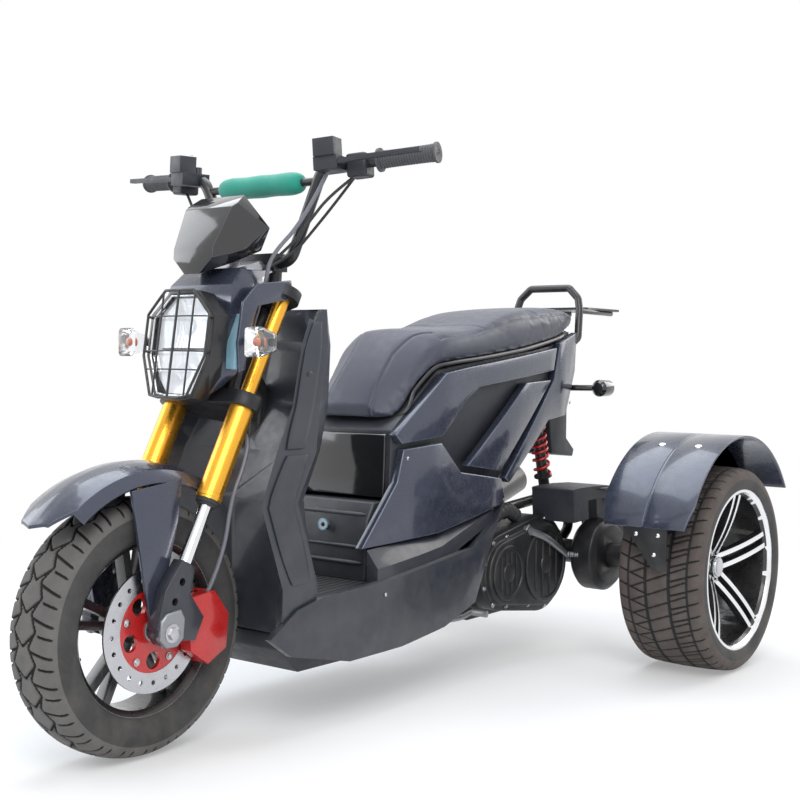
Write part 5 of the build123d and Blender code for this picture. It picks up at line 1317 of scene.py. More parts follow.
@dataclass
class Cockpit:
    """Handlebar, padded cross brace, ribbed grips, controls, levers and cables."""

    bar_end: Triple = (400.0, 396.0, 1122.0)
    bar_top: Triple = (165.0, 337.0, 1105.0)
    grip_length: float = 122.0
    grip_radius: float = 16.2
    ribs: int = 22
    pad_half: float = 112.0
    pad_radius: float = 22.5
    brace_y: float = 338.0
    brace_z: float = 1080.0
    lid_screws: Outline = ((176.0, 310.0), (206.0, 326.0))
    cables: tuple[tuple[Triple, ...], ...] = (
        (
            (236.0, 352.0, 1086.0), (190.0, 330.0, 1050.0), (150.0, 316.0, 1000.0), (118.0, 296.0, 950.0),
            (72.0, 268.0, 906.0),
        ),
        (
            (222.0, 366.0, 1086.0), (176.0, 366.0, 1042.0), (132.0, 352.0, 990.0), (96.0, 326.0, 936.0),
            (58.0, 276.0, 902.0),
        ),
        (
            (-236.0, 352.0, 1086.0), (-190.0, 326.0, 1052.0), (-150.0, 306.0, 1004.0), (-116.0, 290.0, 950.0),
            (-72.0, 268.0, 906.0),
        ),
    )

    def build(self) -> None:
        """Make the cockpit's pieces."""
        eased("hand_controls", CHARCOAL, Body.STEERING, 1.8, CHARCOAL_EDGE_HIGHLIGHT)
        for side in Side:
            self.grip(side)
        self.pad()
        self.screws()
        for number, route in enumerate(self.cables):
            hung_cord(f"control_cable_{number + 1}", route, 6.0, RUBBER, Body.STEERING)

    def grip(self, side: Side) -> None:
        """Ribbed grip: a tube whose radius is a wave along its length, flared towards both ends."""
        end = np.array(self.bar_end) * (side.value, 1.0, 1.0)
        top = np.array(self.bar_top) * (side.value, 1.0, 1.0)
        inward = (top - end) / np.linalg.norm(top - end)
        share = np.linspace(0.0, 1.0, 220)
        radius = self.grip_radius + 0.8 * np.tanh(3.0 * np.sin(share * ROUND * self.ribs))
        radius = radius + 2.2 * np.abs(2.0 * share - 1.0) ** 6
        radius = np.where(share > 0.955, 23.0, radius)
        radius = np.where(share < 0.04, 20.0, radius)
        path = end + inward * (share * self.grip_length)[:, None]
        replaced = ("grips",) if side is Side.LEFT else ()
        name = f"grip_{side.name.lower()}"
        piece(name, carried(path, radius, 28), GREY_RUBBER, Body.STEERING, crease=60.0, replaced=replaced)

    def pad(self) -> None:
        """Padded sleeve round the cross brace: a round section that swells and draws in at its ends."""
        share = np.linspace(-1.0, 1.0, 40)
        path = placed(share * self.pad_half, self.brace_y, self.brace_z)
        swell = self.pad_radius * (1.0 - 0.42 * np.abs(share) ** 14) + 0.5 * np.cos(share * ROUND * 1.5)
        sleeve = carried(path, swell, 32)
        pad = piece("brace_pad", sleeve, TEAL, Body.STEERING, crease=80.0, replaced=("bar_pad",))

    def screws(self) -> None:
        """Screws sunk a little into the lids of the fluid reservoirs."""
        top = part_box("hand_controls")[1].z / MILLIMETRE - 0.6
        places = np.array([(side.value * x, y, top) for side in Side for x, y in self.lid_screws])
        piece("reservoir_screws", stamped(dome(3.0, 1.2, 14), places, UPWARD), STEEL, Body.STEERING)


# Body


@dataclass
class BodyShell:
    """Moulded body: panels with eased edges, deck ribs, lapped covers, ledges, lock ring and screws."""

    deck_front: float = 296.0
    deck_rear: float = 536.0
    deck_half: float = 118.0
    deck_line: Outline = ((270.0, 252.0), (560.0, 262.0), (880.0, 294.0))
    rib_gap: float = 18.0
    rib_radius: float = 4.2
    ledge_half: float = 104.0
    ledges: tuple[Triple, ...] = ((541.0, 300.0, 4.5), (543.0, 334.0, 3.5), (556.0, 402.0, 4.5))
    lock_z: float = 375.0
    lock: Outline = ((-1.0, 13.5), (1.5, 13.5), (2.0, 12.6), (2.0, 9.6), (1.2, 9.0))
    left_screws: tuple[Triple, ...] = (
        (150.5, 640.0, 520.0), (150.5, 860.0, 444.0), (146.0, 1330.0, 628.0), (188.5, 520.0, 246.0),
    )
    shield_side: tuple[tuple[float, ...], ...] = (
        (293.0, 178.0, 218.0, 178.0, 318.0),
        (457.0, 176.0, 160.0, 176.0, 260.0),
        (550.0, 170.0, 205.0, 176.0, 312.0),
        (640.0, 151.0, 270.0, 160.0, 340.0),
        (760.0, 129.0, 320.0, 146.0, 380.0),
        (832.0, 112.0, 369.0, 126.0, 398.0),
    )

    def build(self) -> None:
        """Make the body's pieces."""
        # Each edge finish is a lighter colour painted on the eased edges as a highlight.
        for node, finish, width, edge in (
            ("side_panels", PAINT, 2.5, PAINT_EDGE_HIGHLIGHT),
            ("side_trims", PAINT, 2.5, PAINT_EDGE_HIGHLIGHT),
            ("tail_covers", PAINT, 2.5, PAINT_EDGE_HIGHLIGHT),
            ("side_skirts", SKIRT, 4.0, CHARCOAL_EDGE_HIGHLIGHT),
            ("leg_shield", SKIRT, 4.0, CHARCOAL_EDGE_HIGHLIGHT),
            ("knee_panel", CHARCOAL, 4.0, None),
            ("step_box", CHARCOAL, 4.0, CHARCOAL_EDGE_HIGHLIGHT),
            ("seat_front_panel", SMOKE, 2.5, None),
            ("belly_pan", CHARCOAL, 4.0, None),
            ("body_core", CHARCOAL, 2.5, None),
            ("plate_bracket", CHARCOAL, 2.5, CHARCOAL_EDGE_HIGHLIGHT),
            ("floorboard", CHARCOAL, 1.5, None),
        ):
            eased(node, finish, Body.CHASSIS, width, edge)
        self.deck_ribs()
        self.shield_covers()
        self.box_ledges()
        self.lock_ring()
        self.screws()

    def deck_z(self, y: np.ndarray) -> np.ndarray:
        """Height of the deck: straight slopes between its stations."""
        return np.interp(y, *np.array(self.deck_line).T)

    def deck_ribs(self) -> None:
        """Low rounded ribs along the deck: a round tube from front to rear, pressed to half its height."""
        across = np.arange(-self.deck_half, self.deck_half + 1.0, self.rib_gap)
        y = np.linspace(self.deck_front, self.deck_rear, 12)
        ribs = []
        for x in across:
            shape = carried(placed(x, y, self.deck_z(y) + 0.4), self.rib_radius, 10)
            deck = np.repeat(self.deck_z(y), 10)
            shape.points[:, 2] = deck + (shape.points[:, 2] - deck) * 0.5
            ribs.append(shape)
        piece("deck_ribs", together(*ribs), RUBBER, Body.CHASSIS, crease=50.0)

    def on_shield(self, level: np.ndarray, share: np.ndarray, proud: float) -> np.ndarray:
        """Points of the shield's left side: across from its ridge to its rear edge, standing proud in x.

        Args:
            level: Heights in millimetres.
            share: 0 on the ridge and 1 on the rear edge.
            proud: Distance outside the side.

        Returns:
            The points, rows by level and columns by share.
        """
        table = np.array(self.shield_side)
        levels = table[:, 0]
        ridge_x, ridge_y, edge_x, edge_y = (np.interp(level, levels, column) for column in table[:, 1:].T)
        x = ridge_x[:, None] + (edge_x - ridge_x)[:, None] * share + proud
        y = ridge_y[:, None] + (edge_y - ridge_y)[:, None] * share
        return placed(x, y, level[:, None])

    def shield_covers(self) -> None:
        """Two lapped covers on each side of the leg shield, with a dark plug in the upper one."""
        covers = []
        for low, high, near, far, proud in ((560.0, 806.0, 0.10, 0.74, 2.6), (300.0, 548.0, 0.16, 0.86, 2.2)):
            level = np.linspace(low, high, 14)
            taper = 0.10 * np.abs(np.linspace(-1.0, 1.0, 14)) ** 3
            share = np.linspace(0.0, 1.0, 6)[None, :]
            place = (near + taper)[:, None] + share * (far - near - 2.0 * taper)[:, None]
            sheet = grid(self.on_shield(level, place, proud))
            covers += [sheet, mirrored(sheet)]
        piece("shield_covers", together(*covers), SKIRT, Body.CHASSIS, wall=4.0, rounded=1.2)
        hole = self.on_shield(np.array([700.0]), np.array([[0.42]]), 4.2).reshape(-1, 3)
        places = np.vstack([hole, hole * MIRROR])
        plugs = stamped(dome(8.0, 1.0, 24), places, outward(places))
        piece("cover_plugs", plugs, BLACK_METAL, Body.CHASSIS)

    def box_ledges(self) -> None:
        """Moulded ledges across the front of the step box, in the lighter charcoal painted on as a highlight.
        """
        ledges = []
        x = np.linspace(-self.ledge_half, self.ledge_half, 30)
        taper = 1.0 - 0.6 * np.abs(np.linspace(-1.0, 1.0, 30)) ** 12
        for y, z, size in self.ledges:
            ledges.append(carried(placed(x, y, z), size * taper, 10))
        piece("box_ledges", together(*ledges), CHARCOAL_EDGE_HIGHLIGHT, Body.CHASSIS, crease=60.0)

    def lock_ring(self) -> None:
        """Blue ring of the ignition lock, and a dark hexagon that stands for its key slot."""
        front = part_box("ignition_lock")[0].y / MILLIMETRE + MIDDLE_Y
        middle = np.array([0.0, front, self.lock_z])
        piece("lock_ring", turned(self.lock, 32, middle, TO_FRONT), BLUE_LENS, Body.CHASSIS)
        slot = stamped(hex_bolt(3.4, 1.6), middle + 1.6 * TO_FRONT, TO_FRONT)
        piece("lock_slot", slot, SMOKE, Body.CHASSIS)

    def screws(self) -> None:
        """Small screws along the panels' edges."""
        places = np.vstack([self.left_screws, self.left_screws * MIRROR])
        screws = stamped(dome(4.2, 1.6, 14), places, outward(places))
        piece("panel_screws", screws, STEEL, Body.CHASSIS)


@dataclass
class Seat:
    """Long two-step seat: a crowned pad over a firm base, blown up as cloth and then seamed.

    Each station is its length, the base's and the flank's height, the crown's height, and half widths at
    the base, the flank and the shoulder.
    """

    stations: tuple[tuple[float, ...], ...] = (
        (612.0, 602.0, 608.0, 636.0, 88.0, 90.0, 66.0),
        (650.0, 612.0, 626.0, 694.0, 112.0, 116.0, 62.0),
        (700.0, 670.0, 690.0, 752.0, 124.0, 128.0, 60.0),
        (752.0, 716.0, 742.0, 794.0, 136.0, 140.0, 76.0),
        (806.0, 729.0, 768.0, 804.0, 144.0, 147.0, 110.0),
        (924.0, 741.0, 784.0, 811.0, 146.0, 149.0, 125.0),
        (1040.0, 754.0, 804.0, 842.0, 143.0, 146.0, 123.0),
        (1140.0, 767.0, 818.0, 860.0, 139.0, 142.0, 120.0),
        (1320.0, 795.0, 838.0, 872.0, 116.0, 121.0, 104.0),
        (1457.0, 829.0, 848.0, 870.0, 76.0, 81.0, 71.0),
    )
    shrink: float = 4.0
    voxel: float = 6.0
    cap: float = 5.0
    pressure: float = 2.6
    frames: int = 18
    firm_base: float = 5.0
    seam_depth: float = 2.6
    seam_width: float = 2.6
    nose_end: float = 790.0
    cross_seam: float = 934.0
    cross_sweep: float = 0.25

    def shape(self) -> Surface:
        """Closed shape of the pad.

        At each station a loop goes through base, flank, shoulder and crown, and a smooth line goes through
        the same place of all stations. Each loop is then smoothed too, with its first three points again
        after its last, and kept from its second point round to its first.
        """
        rings = []
        for y, low, side, top, low_half, side_half, shoulder_half in self.stations:
            s = self.shrink
            half = [
                (0.0, low + s), (low_half * 0.6, low + s), (low_half - s, low + s), (side_half - s, side),
                (shoulder_half, top - 9.0 - s), (shoulder_half * 0.58, top - 1.5 - s), (0.0, top - s),
            ]
            loop = half + [(-x, z) for x, z in half[-2:0:-1]]
            rings.append([(x, y, z) for x, z in loop])
        rings = np.array(rings)
        lines = flowing(rings, 70)
        looped = np.concatenate([lines, lines[:, :3]], axis=1).transpose(1, 0, 2)
        steps = 6
        closed = flowing(looped, (len(looped) - 1) * steps + 1)[steps:-2 * steps].transpose(1, 0, 2)
        return grid(closed, wrap_columns=True, capped=True)

    def build(self) -> None:
        """Blow the pad up, smooth it, press its seams and finish it."""
        pad = piece("seat_pad", self.shape(), VINYL, Body.SEAT, crease=80.0, replaced=("seat",))
        blocks = pad.modifiers.new("even", "REMESH")
        blocks.mode = "VOXEL"
        blocks.voxel_size = self.voxel * MILLIMETRE
        settle(pad)
        self.inflate(pad)
        soft = pad.modifiers.new("soft", "SUBSURF")
        soft.levels = 1
        soft.render_levels = 1
        settle(pad)
        self.press_seams(pad)
        shaded(pad.data, 80.0)
        pad.data.materials.clear()
        pad.data.materials.append(VINYL.material())
        pad.data.materials.append(VINYL_SIDE.material())
        self.two_tone(pad)
        self.rim()

    def rim(self) -> None:
        """Lip of the seat's base: a round bead under both flanks and the nose.

        It leaves out the foremost station, and begins halfway between the last two.
        """
        table = np.array(self.stations)[:0:-1]
        table[0] = (table[0] + table[1]) / 2.0
        left = placed(table[:, 4] - 2.0, table[:, 0], table[:, 1] - 3.0)
        right = left[::-1] * MIRROR
        line = flowing(np.vstack([left, right]), 170)
        piece("seat_rim", carried(line, 5.0, 12), BLACK_METAL, Body.SEAT, crease=80.0)

    def inflate(self, pad: bpy.types.Object) -> None:
        """Cloth under pressure: each point stays within the cap of where it began, and the base stays."""
        before = vectors(pad.data.vertices, "co")
        cloth = pad.modifiers.new("cloth", "CLOTH")
        cloth.settings.use_pressure = True
        cloth.settings.uniform_pressure_force = self.pressure
        cloth.settings.effector_weights.gravity = 0.0
        cloth.settings.quality = 5
        cloth.point_cache.frame_start = 1
        cloth.point_cache.frame_end = self.frames
        scene = bpy.context.scene
        for step in range(1, self.frames + 1):
            scene.frame_set(step)
        settle(pad)
        scene.frame_set(1)
        move = vectors(pad.data.vertices, "co") - before
        far = np.linalg.norm(move, axis=1)[:, None]
        held = move * np.minimum(1.0, self.cap * MILLIMETRE / np.maximum(far, 1e-9))
        base = self.at_stations(before[:, 1], 1) + self.firm_base
        held[before[:, 2] / MILLIMETRE < base] = 0.0
        pad.data.vertices.foreach_set("co", (before + held).ravel())
        pad.data.update()

    def at_stations(self, y: np.ndarray, column: int) -> np.ndarray:
        """One column of the station table at shared-frame lengths y, straight between stations."""
        table = np.array(self.stations)
        return np.interp(y / MILLIMETRE + MIDDLE_Y, table[:, 0], table[:, column])

    def shoulder(self, y: np.ndarray) -> np.ndarray:
        """Height of the shoulder seam at shared-frame lengths y, between the flank and the crown."""
        return 0.45 * self.at_stations(y, 2) + 0.55 * self.at_stations(y, 3) - 3.0

    def press_seams(self, pad: bpy.types.Object) -> None:
        """Sewn channels: points move in along their normals by a bell curve of their distance to a seam.

        The seams are one along each shoulder behind the nose, one swept across the step and one along each
        side of the nose. Where a seam doesn't run, the distance to it counts as unseamed.
        """
        mesh = pad.data
        points = vectors(mesh.vertices, "co")
        normals = vectors(mesh.vertices, "normal")
        y = points[:, 1]
        across = np.abs(points[:, 0]) / MILLIMETRE
        height = points[:, 2] / MILLIMETRE
        length = y / MILLIMETRE + MIDDLE_Y
        shoulder = self.shoulder(y)
        unseamed = 99.0
        away = [
            np.where(length > self.nose_end, height - shoulder, unseamed),
            np.where(height > shoulder, length - self.cross_seam - across * self.cross_sweep, unseamed),
            np.where(length < self.nose_end, across - self.at_stations(y, 6), unseamed),
        ]
        nearest = np.min(np.abs(away), axis=0)
        press = self.seam_depth * np.exp(-((nearest / self.seam_width) ** 2)) * MILLIMETRE
        mesh.vertices.foreach_set("co", (points - normals * press[:, None]).ravel())
        mesh.update()

    def two_tone(self, pad: bpy.types.Object) -> None:
        """The flanks under the shoulder seam take the smoother, darker vinyl."""
        mesh = pad.data
        middles = vectors(mesh.polygons, "center")
        y = middles[:, 1]
        behind = y / MILLIMETRE + MIDDLE_Y > self.nose_end
        index = ((middles[:, 2] / MILLIMETRE < self.shoulder(y)) & behind).astype(np.int32)
        mesh.polygons.foreach_set("material_index", index)


# Power unit and rear end


@dataclass
class PowerUnit:
    """Eased engine, belt case, final drive and silencer, with covers, springs, lever, hose and stand.

    Each pulley is its place along and up the vehicle, and its radius.
    """

    case_face: float = 166.0
    bolt_face: float = 151.0
    variator: Triple = (1018.0, 228.0, 92.0)
    clutch: Triple = (1186.0, 231.0, 119.0)
    spring_foot: Triple = (96.0, 1300.0, 385.0)
    spring_head: Triple = (96.0, 1232.0, 640.0)
    spring_turns: float = 7.0
    spring_radius: float = 19.0
    wire: float = 3.8
    lever_boss: Outline = ((0.0, 13.0), (10.0, 13.0), (12.0, 11.0), (16.0, 11.0), (17.0, 9.0))
    lever_arm: tuple[Triple, ...] = (
        (164.0, 1118.0, 318.0), (180.0, 1162.0, 300.0), (182.0, 1216.0, 272.0), (182.0, 1262.0, 248.0),
    )
    pedal_reach: Triple = (36.0, 4.0, 0.0)
    apron_line: Outline = (
        (1206.0, 336.0), (1200.0, 404.0), (1214.0, 418.0), (1352.0, 417.0), (1392.0, 408.0), (1436.0, 352.0),
        (1458.0, 290.0), (1462.0, 250.0),
    )
    apron_x: tuple[float, float] = (118.0, 236.0)
    apron_foot: tuple[float, float] = (1372.0, 344.0)
    hose: tuple[Triple, ...] = (
        (118.0, 950.0, 296.0), (124.0, 986.0, 342.0), (126.0, 1060.0, 372.0), (120.0, 1120.0, 352.0),
    )
    stand_pivot: Triple = (126.0, 700.0, 176.0)
    stand_leg: tuple[Triple, ...] = ((132.0, 760.0, 150.0), (138.0, 850.0, 142.0), (140.0, 906.0, 150.0))
    stand_foot: tuple[Triple, ...] = ((140.0, 900.0, 149.0), (158.0, 912.0, 146.0), (176.0, 916.0, 145.0))
    stand_spring: Triple = (140.0, 712.0, 182.0)

    def build(self) -> None:
        """Make the power unit's pieces."""
        for node, finish, width in (
            ("belt_case", DARK_CAST, 4.0), ("engine_block", DARK_CAST, 4.0),
            ("drive_housing", DARK_CAST, 3.0), ("drive_guard", CHARCOAL, 1.2), ("exhaust", BLACK_METAL, 3.0),
        ):
            eased(node, finish, Body.CHASSIS, width)
        self.covers()
        self.springs()
        self.kick_lever()
        self.apron()
        self.intake()
        self.stand_bracket()

    def covers(self) -> None:
        """Round covers with upright ridges over both pulleys, and the case's bolts.

        A ridge is as long as its chord of the cover: the root of one less the square of its share across.
        """
        parts = []
        for y, z, radius in (self.variator, self.clutch):
            rim = radius - 26.0
            inner = rim - 14.0
            profile = [
                (-2.0, rim), (4.0, rim), (6.0, rim - 2.0), (6.0, rim - 9.0), (3.0, rim - 11.0), (3.0, 24.0),
                (6.0, 22.0), (8.0, 14.0),
            ]
            parts.append(turned(profile, 48, np.array([self.case_face, y, z])))
            ends = 3.2 * (1.0 - 0.5 * np.abs(np.linspace(-1.0, 1.0, 8)) ** 6)
            for across in np.linspace(-0.6, 0.6, 4):
                reach = inner * np.sqrt(1.0 - across**2)
                middle = np.array([self.case_face + 3.2, y + across * inner, z])
                parts.append(carried(middle + np.linspace(-reach, reach, 8)[:, None] * UPWARD, ends, 8))
        piece("case_covers", together(*parts), DARK_CAST, Body.CHASSIS, crease=30.0)
        turn = np.radians(np.arange(0.0, 360.0, 40.0))
        places = []
        for pulley, other in ((self.variator, self.clutch), (self.clutch, self.variator)):
            middle = np.array([self.bolt_face, *pulley[:2]])
            ring = round_axle(middle, pulley[2] - 8.0, turn)
            apart = np.hypot(ring[:, 1] - other[0], ring[:, 2] - other[1])
            places.append(ring[apart > other[2] + 2.0])
        bolts = stamped(hex_bolt(4.5, 5.0), np.vstack(places), TO_LEFT)
        piece("case_bolts", bolts, STEEL, Body.CHASSIS)

    def springs(self) -> None:
        """Red coil springs: a helix about each shock absorber, wound closer at its ends."""
        foot = np.array(self.spring_foot)
        head = np.array(self.spring_head)
        axis = (head - foot) / np.linalg.norm(head - foot)
        third = np.cross(axis, TO_LEFT)
        share = np.linspace(0.0, 1.0, 260)
        climb = 0.22 + 0.58 * (share + 0.045 * np.sin(share * ROUND))
        turn = share * ROUND * self.spring_turns
        middle = foot + (head - foot) * climb[:, None]
        ring = np.cos(turn)[:, None] * TO_LEFT + np.sin(turn)[:, None] * third
        left = carried(middle + self.spring_radius * ring, self.wire, 10)
        piece("spring_coils", pair(left), RED, Body.CHASSIS, crease=80.0, replaced=("shock_springs",))

    def kick_lever(self) -> None:
        """Kick-start lever: a tapered arm on a stepped boss, 14 mm inside its start, with a ribbed pedal."""
        start = np.array(self.lever_arm[0])
        boss = turned(self.lever_boss, 24, start - 14.0 * TO_LEFT)
        arm = carried(flowing(self.lever_arm, 24), np.linspace(9.5, 7.5, 24), 12)
        share = np.linspace(0.0, 1.0, 40)
        line = np.array(self.lever_arm[-1]) + share[:, None] * np.array(self.pedal_reach)
        pedal = carried(line, 7.0 + 0.9 * np.sin(share * ROUND * 6.0), 14)
        piece("kick_lever", together(boss, arm, pedal), GREY_CAST, Body.CHASSIS)

    def apron(self) -> None:
        """Splash apron round the final drive: a bent sheet, and a web that runs from it towards a foot."""
        line = flowing(self.apron_line, 40)
        sheet = grid(placed(np.linspace(*self.apron_x, 8)[:, None], line[:, 0], line[:, 1]))
        share = np.linspace(0.0, 0.42, 6)[:, None, None]
        web = line + share * (self.apron_foot - line)
        side = grid(placed(self.apron_x[1], web[..., 0], web[..., 1]))
        piece("drive_apron", together(sheet, side), CHARCOAL, Body.CHASSIS, wall=3.0, crease=34.0)

    def intake(self) -> None:
        """Ribbed hose over the belt case, its radius a wave along its length, with a clamp near each end."""
        line = flowing(self.hose, 120)
        radius = 16.0 + 1.6 * np.sin(np.linspace(0.0, 1.0, 120) * ROUND * 15.0)
        clamps = [carried(line[start:start + 6], 18.6, 20) for start in (3, 110)]
        piece("intake_hose", carried(line, radius, 20), RUBBER, Body.CHASSIS, crease=70.0)
        piece("hose_clamps", together(*clamps), STEEL, Body.CHASSIS)

    def stand_bracket(self) -> None:
        """Folded side stand under the deck on the left: a bracket, a leg, its foot and a coil spring."""
        pivot = np.array(self.stand_pivot)
        plate = carried(np.array([pivot + (0.0, -14.0, 22.0), pivot, pivot + (0.0, 16.0, -10.0)]), 9.0, 12)
        leg = carried(flowing([self.stand_pivot, *self.stand_leg], 30), 7.5, 14)
        foot = carried(np.array(self.stand_foot), 8.0, 12)
        share = np.linspace(0.0, 1.0, 160)
        turn = share * ROUND * 16.0
        middle = np.array(self.stand_spring) + share[:, None] * (0.0, 84.0, -22.0)
        coil = middle + 5.0 * placed(np.cos(turn), 0.0, np.sin(turn))
        piece("side_stand", together(plate, leg, foot), GREY_CAST, Body.CHASSIS)
        piece("stand_spring", carried(coil, 1.4, 8), STEEL, Body.CHASSIS)


@dataclass
class RearEnd:
    """Wheel fenders with rolled edges, bolts and lip plates, and the eased rack, lamp and signals."""

    radius: float = 319.0
    inner: float = 386.0
    outer: float = 612.0
    hub_z: float = 243.0
    arc_ends: tuple[float, float] = (146.0, 34.5)
    bead: float = 2.8
    signal_lens: tuple[Triple, Triple] = ((150.0, 1470.0, 630.0), (205.0, 1490.0, 700.0))
    bolt_x: tuple[float, float] = (456.0, 548.0)
    bolt_turn: tuple[float, float] = (112.0, 66.0)
    lip_top: Triple = (502.0, 1056.0, 364.0)
    lip_holds: Outline = ((478.0, 346.0), (532.0, 346.0), (516.0, 300.0))

    def build(self) -> None:
        """Make the rear end's pieces."""
        eased("wheel_fenders", PAINT, Body.CHASSIS, 1.0, PAINT_EDGE_HIGHLIGHT, crease=50.0, flat_degrees=0.2)
        eased("tail_lamp", RED_LENS, Body.CHASSIS, 2.0)
        signals = eased("rear_signals", SMOKE, Body.CHASSIS, 1.6)
        repainted(signals, AMBER, *self.signal_lens)
        eased("luggage_rack", BLACK_METAL, Body.CHASSIS, 1.2)
        self.fender_edges()
        self.fender_bolts()
        self.lip_plates()

    def fender_edges(self) -> None:
        """Rolled beads along both edges of each fender: arcs about the rear axle."""
        beads = []
        turn = np.radians(np.linspace(*self.arc_ends, 60))
        for x in (self.inner + 3.0, self.outer - 3.0):
            line = round_axle(np.array([x, WHEELBASE, self.hub_z]), self.radius - 3.2, turn)
            beads += [carried(line, self.bead, 10), carried(line * MIRROR, self.bead, 10)]
        piece("fender_beads", together(*beads), PAINT, Body.CHASSIS, crease=80.0)

    def fender_bolts(self) -> None:
        """Domed bolts near the fenders' tops."""
        turn = np.radians(self.bolt_turn)
        out = placed(0.0, np.cos(turn), np.sin(turn))
        places = [
            np.array([side.value * x, WHEELBASE, self.hub_z]) + (self.radius - 0.2) * out
            for side in Side for x in self.bolt_x
        ]
        bolts = stamped(dome(9.0, 4.0, 20), np.vstack(places), np.vstack([out] * len(places)))
        piece("fender_bolts", bolts, CHROME, Body.CHASSIS)

    def lip_plates(self) -> None:
        """Plates that hang from the fenders' front lips: folded, narrower low down, and bolted."""
        middle_x, front_y, top_z = self.lip_top
        down = np.linspace(0.0, 1.0, 8)[:, None]
        across = np.linspace(-1.0, 1.0, 9)[None, :]
        x = middle_x + 20.0 * down + (54.0 - 38.0 * down) * across
        y = front_y + 32.0 * down + 6.0 * np.abs(across)
        left = grid(placed(x, y, top_z - 102.0 * down))
        piece("lip_plates", pair(left), DARK_CAST, Body.CHASSIS, wall=3.0, crease=20.0)
        places = np.array([(side.value * x, front_y + 7.0, z) for side in Side for x, z in self.lip_holds])
        places[:, 1] += (self.lip_holds[0][1] - places[:, 2]) * 0.30
        piece("lip_bolts", stamped(dome(6.0, 4.0, 16), places, TO_FRONT), CHROME, Body.CHASSIS)


@dataclass
class BrakeHose:
    """The front brake's hose, from the left lever over the left fork leg to the caliper."""

    diameter: float = 8.0
    route: tuple[Triple, ...] = (
        (190.0, 326.0, 1098.0), (150.0, 300.0, 1000.0), (96.0, 262.0, 930.0), (92.0, 256.0, 880.0),
        (66.0, 246.0, 790.0), (60.0, 236.0, 740.0), (56.0, 222.0, 700.0), (52.0, 205.0, 610.0),
        (100.0, 205.0, 585.0), (112.0, 180.0, 530.0), (112.0, 146.0, 470.0), (100.0, 138.0, 360.0),
        (84.0, 110.0, 290.0),
    )

    def build(self) -> None:
        """Hang the hose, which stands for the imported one."""
        hung_cord(
            "front_brake_hose", self.route, self.diameter, HOSE_SLEEVE, Body.STEERING, ("brake_hose",)
        )


# Studio


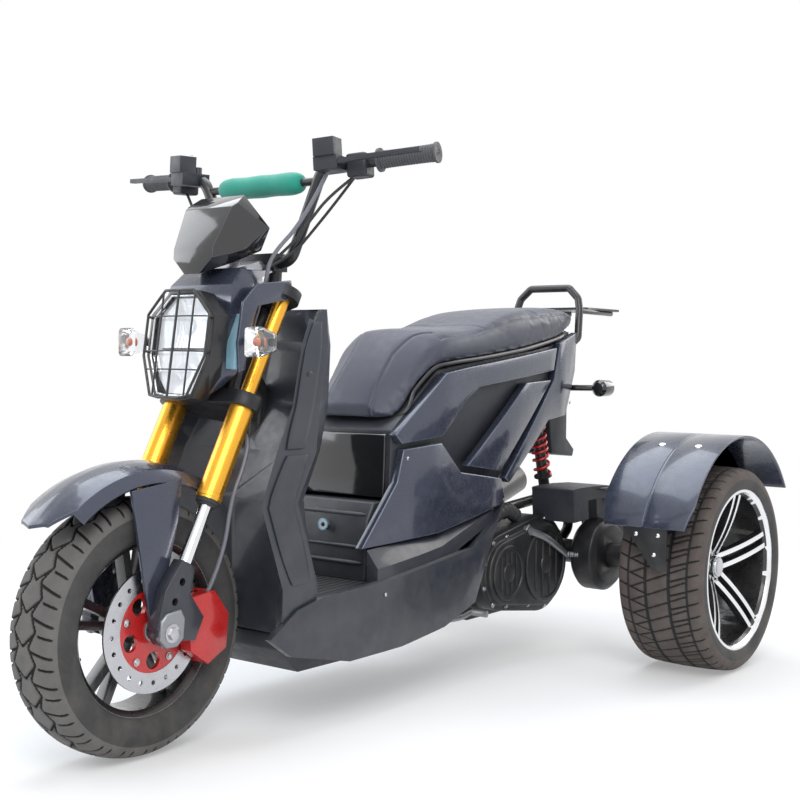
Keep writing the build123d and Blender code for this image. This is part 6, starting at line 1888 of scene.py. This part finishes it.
@dataclass
class Studio:
    """Pale floor, soft lamps and the camera at the photograph's angle."""

    eye: Triple = (1.84933, -2.32523, 0.73072)
    turn: float = 37.66
    down: float = 1.73
    roll: float = 0.62
    lens: float = 58.71
    floor_half: float = 30.0
    aim: Triple = (0.0, 0.0, 0.5)

    def build(self) -> None:
        """Make the studio."""
        self.camera()
        self.floor()
        self.sky()
        self.lamp("key_lamp", (2.4, -2.6, 3.2), 2.6, 95.0, (1.0, 0.98, 0.95))
        self.lamp("top_lamp", (-0.6, 0.4, 3.6), 3.0, 85.0, (0.90, 0.95, 1.0))
        self.lamp("side_lamp", (-3.0, -1.6, 2.0), 2.4, 45.0, (0.92, 0.96, 1.0))
        self.lamp("back_lamp", (1.2, 3.4, 2.4), 2.2, 45.0, (1.0, 0.97, 0.93))

    def camera(self) -> None:
        """Camera turned, tipped down and rolled by the solved angles."""
        a, e, r = np.radians([self.turn, self.down, self.roll])
        ahead = np.array([-np.sin(a) * np.cos(e), np.cos(a) * np.cos(e), -np.sin(e)])
        right = np.array([np.cos(a), np.sin(a), 0.0])
        up = np.cross(right, ahead)
        level = np.cos(r) * right + np.sin(r) * up
        rise = -np.sin(r) * right + np.cos(r) * up
        data = bpy.data.cameras.new("photo_camera")
        data.lens = self.lens
        data.sensor_width = 36.0
        data.sensor_fit = "HORIZONTAL"
        data.clip_end = 60.0
        camera = bpy.data.objects.new("photo_camera", data)
        rows = np.column_stack([level, rise, -ahead])
        camera.matrix_world = Matrix.Translation(Vector(self.eye)) @ Matrix(rows.tolist()).to_4x4()
        bpy.context.scene.collection.objects.link(camera)
        bpy.context.scene.camera = camera

    def floor(self) -> None:
        """A wide pale floor that keeps the shadow.

        To the camera, reflections and glass it is the paper mixed with plain white, by a share that grows
        with the distance from the middle.
        """
        along = np.linspace(-self.floor_half, self.floor_half, 25)
        surface = grid(placed(along[None, :], along[:, None], 0.0))
        mesh = bpy.data.meshes.new("studio_floor")
        mesh.from_pydata(surface.points.tolist(), [], surface.faces)
        obj = bpy.data.objects.new("studio_floor", mesh)
        bpy.context.scene.collection.objects.link(obj)
        made = bpy.data.materials.new("floor_paper")
        made.use_nodes = True
        tree = made.node_tree
        shader = tree.nodes["Principled BSDF"]
        shader.inputs["Base Color"].default_value = (0.93, 0.93, 0.93, 1.0)
        shader.inputs["Roughness"].default_value = 0.9
        reach = tree.nodes.new("ShaderNodeVectorMath")
        reach.operation = "LENGTH"
        tree.links.new(tree.nodes.new("ShaderNodeTexCoord").outputs["Object"], reach.inputs[0])
        far = ranged(tree, reach.outputs["Value"], 1.0, 2.6, 0.30, 1.0)
        share = combined(tree, "MULTIPLY", far, seen_directly(tree))
        white = tree.nodes.new("ShaderNodeEmission")
        white.inputs["Color"].default_value = (1.0, 1.0, 1.0, 1.0)
        mix = tree.nodes.new("ShaderNodeMixShader")
        tree.links.new(share, mix.inputs["Fac"])
        tree.links.new(shader.outputs[0], mix.inputs[1])
        tree.links.new(white.outputs[0], mix.inputs[2])
        tree.links.new(mix.outputs[0], tree.nodes["Material Output"].inputs["Surface"])
        mesh.materials.append(made)

    def sky(self) -> None:
        """Soft even light, seen as white by the camera, by reflections and through glass."""
        world = bpy.data.worlds.new("studio_sky")
        bpy.context.scene.world = world
        world.use_nodes = True
        tree = world.node_tree
        light = tree.nodes["Background"]
        light.inputs["Color"].default_value = (0.88, 0.93, 1.0, 1.0)
        light.inputs["Strength"].default_value = 0.55
        seen = tree.nodes.new("ShaderNodeBackground")
        seen.inputs["Color"].default_value = (1.0, 1.0, 1.0, 1.0)
        mix = tree.nodes.new("ShaderNodeMixShader")
        tree.links.new(seen_directly(tree), mix.inputs["Fac"])
        tree.links.new(light.outputs[0], mix.inputs[1])
        tree.links.new(seen.outputs[0], mix.inputs[2])
        tree.links.new(mix.outputs[0], tree.nodes["World Output"].inputs["Surface"])

    def lamp(self, name: str, place: Triple, size: float, power: float, colour: Triple) -> None:
        """A square soft lamp that faces the middle of the vehicle."""
        data = bpy.data.lights.new(name, "AREA")
        data.size = size
        data.energy = power
        data.color = colour
        obj = bpy.data.objects.new(name, data)
        turn = (Vector(self.aim) - Vector(place)).to_track_quat("-Z", "Y")
        obj.matrix_world = Matrix.Translation(Vector(place)) @ turn.to_matrix().to_4x4()
        bpy.context.scene.collection.objects.link(obj)


def dress_nodes() -> None:
    """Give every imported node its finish; the pieces that replace some of them are made afterwards."""
    for name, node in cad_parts.items():
        node.data.materials.clear()
        node.data.materials.append(NODE_FINISH[name].material())


def main() -> None:
    """Build the studio and every sub-assembly in order."""
    logging.basicConfig(level=logging.INFO, format="%(message)s")
    bpy.context.scene.view_settings.view_transform = "Standard"
    Studio().build()
    dress_nodes()
    FrontWheel().build()
    for side in Side:
        RearWheel(side).build()
    Fork().build()
    FrontFender().build()
    Headlamp().build()
    Cockpit().build()
    BodyShell().build()
    PowerUnit().build()
    RearEnd().build()
    Seat().build()
    BrakeHose().build()


if __name__ == "__main__":
    main()
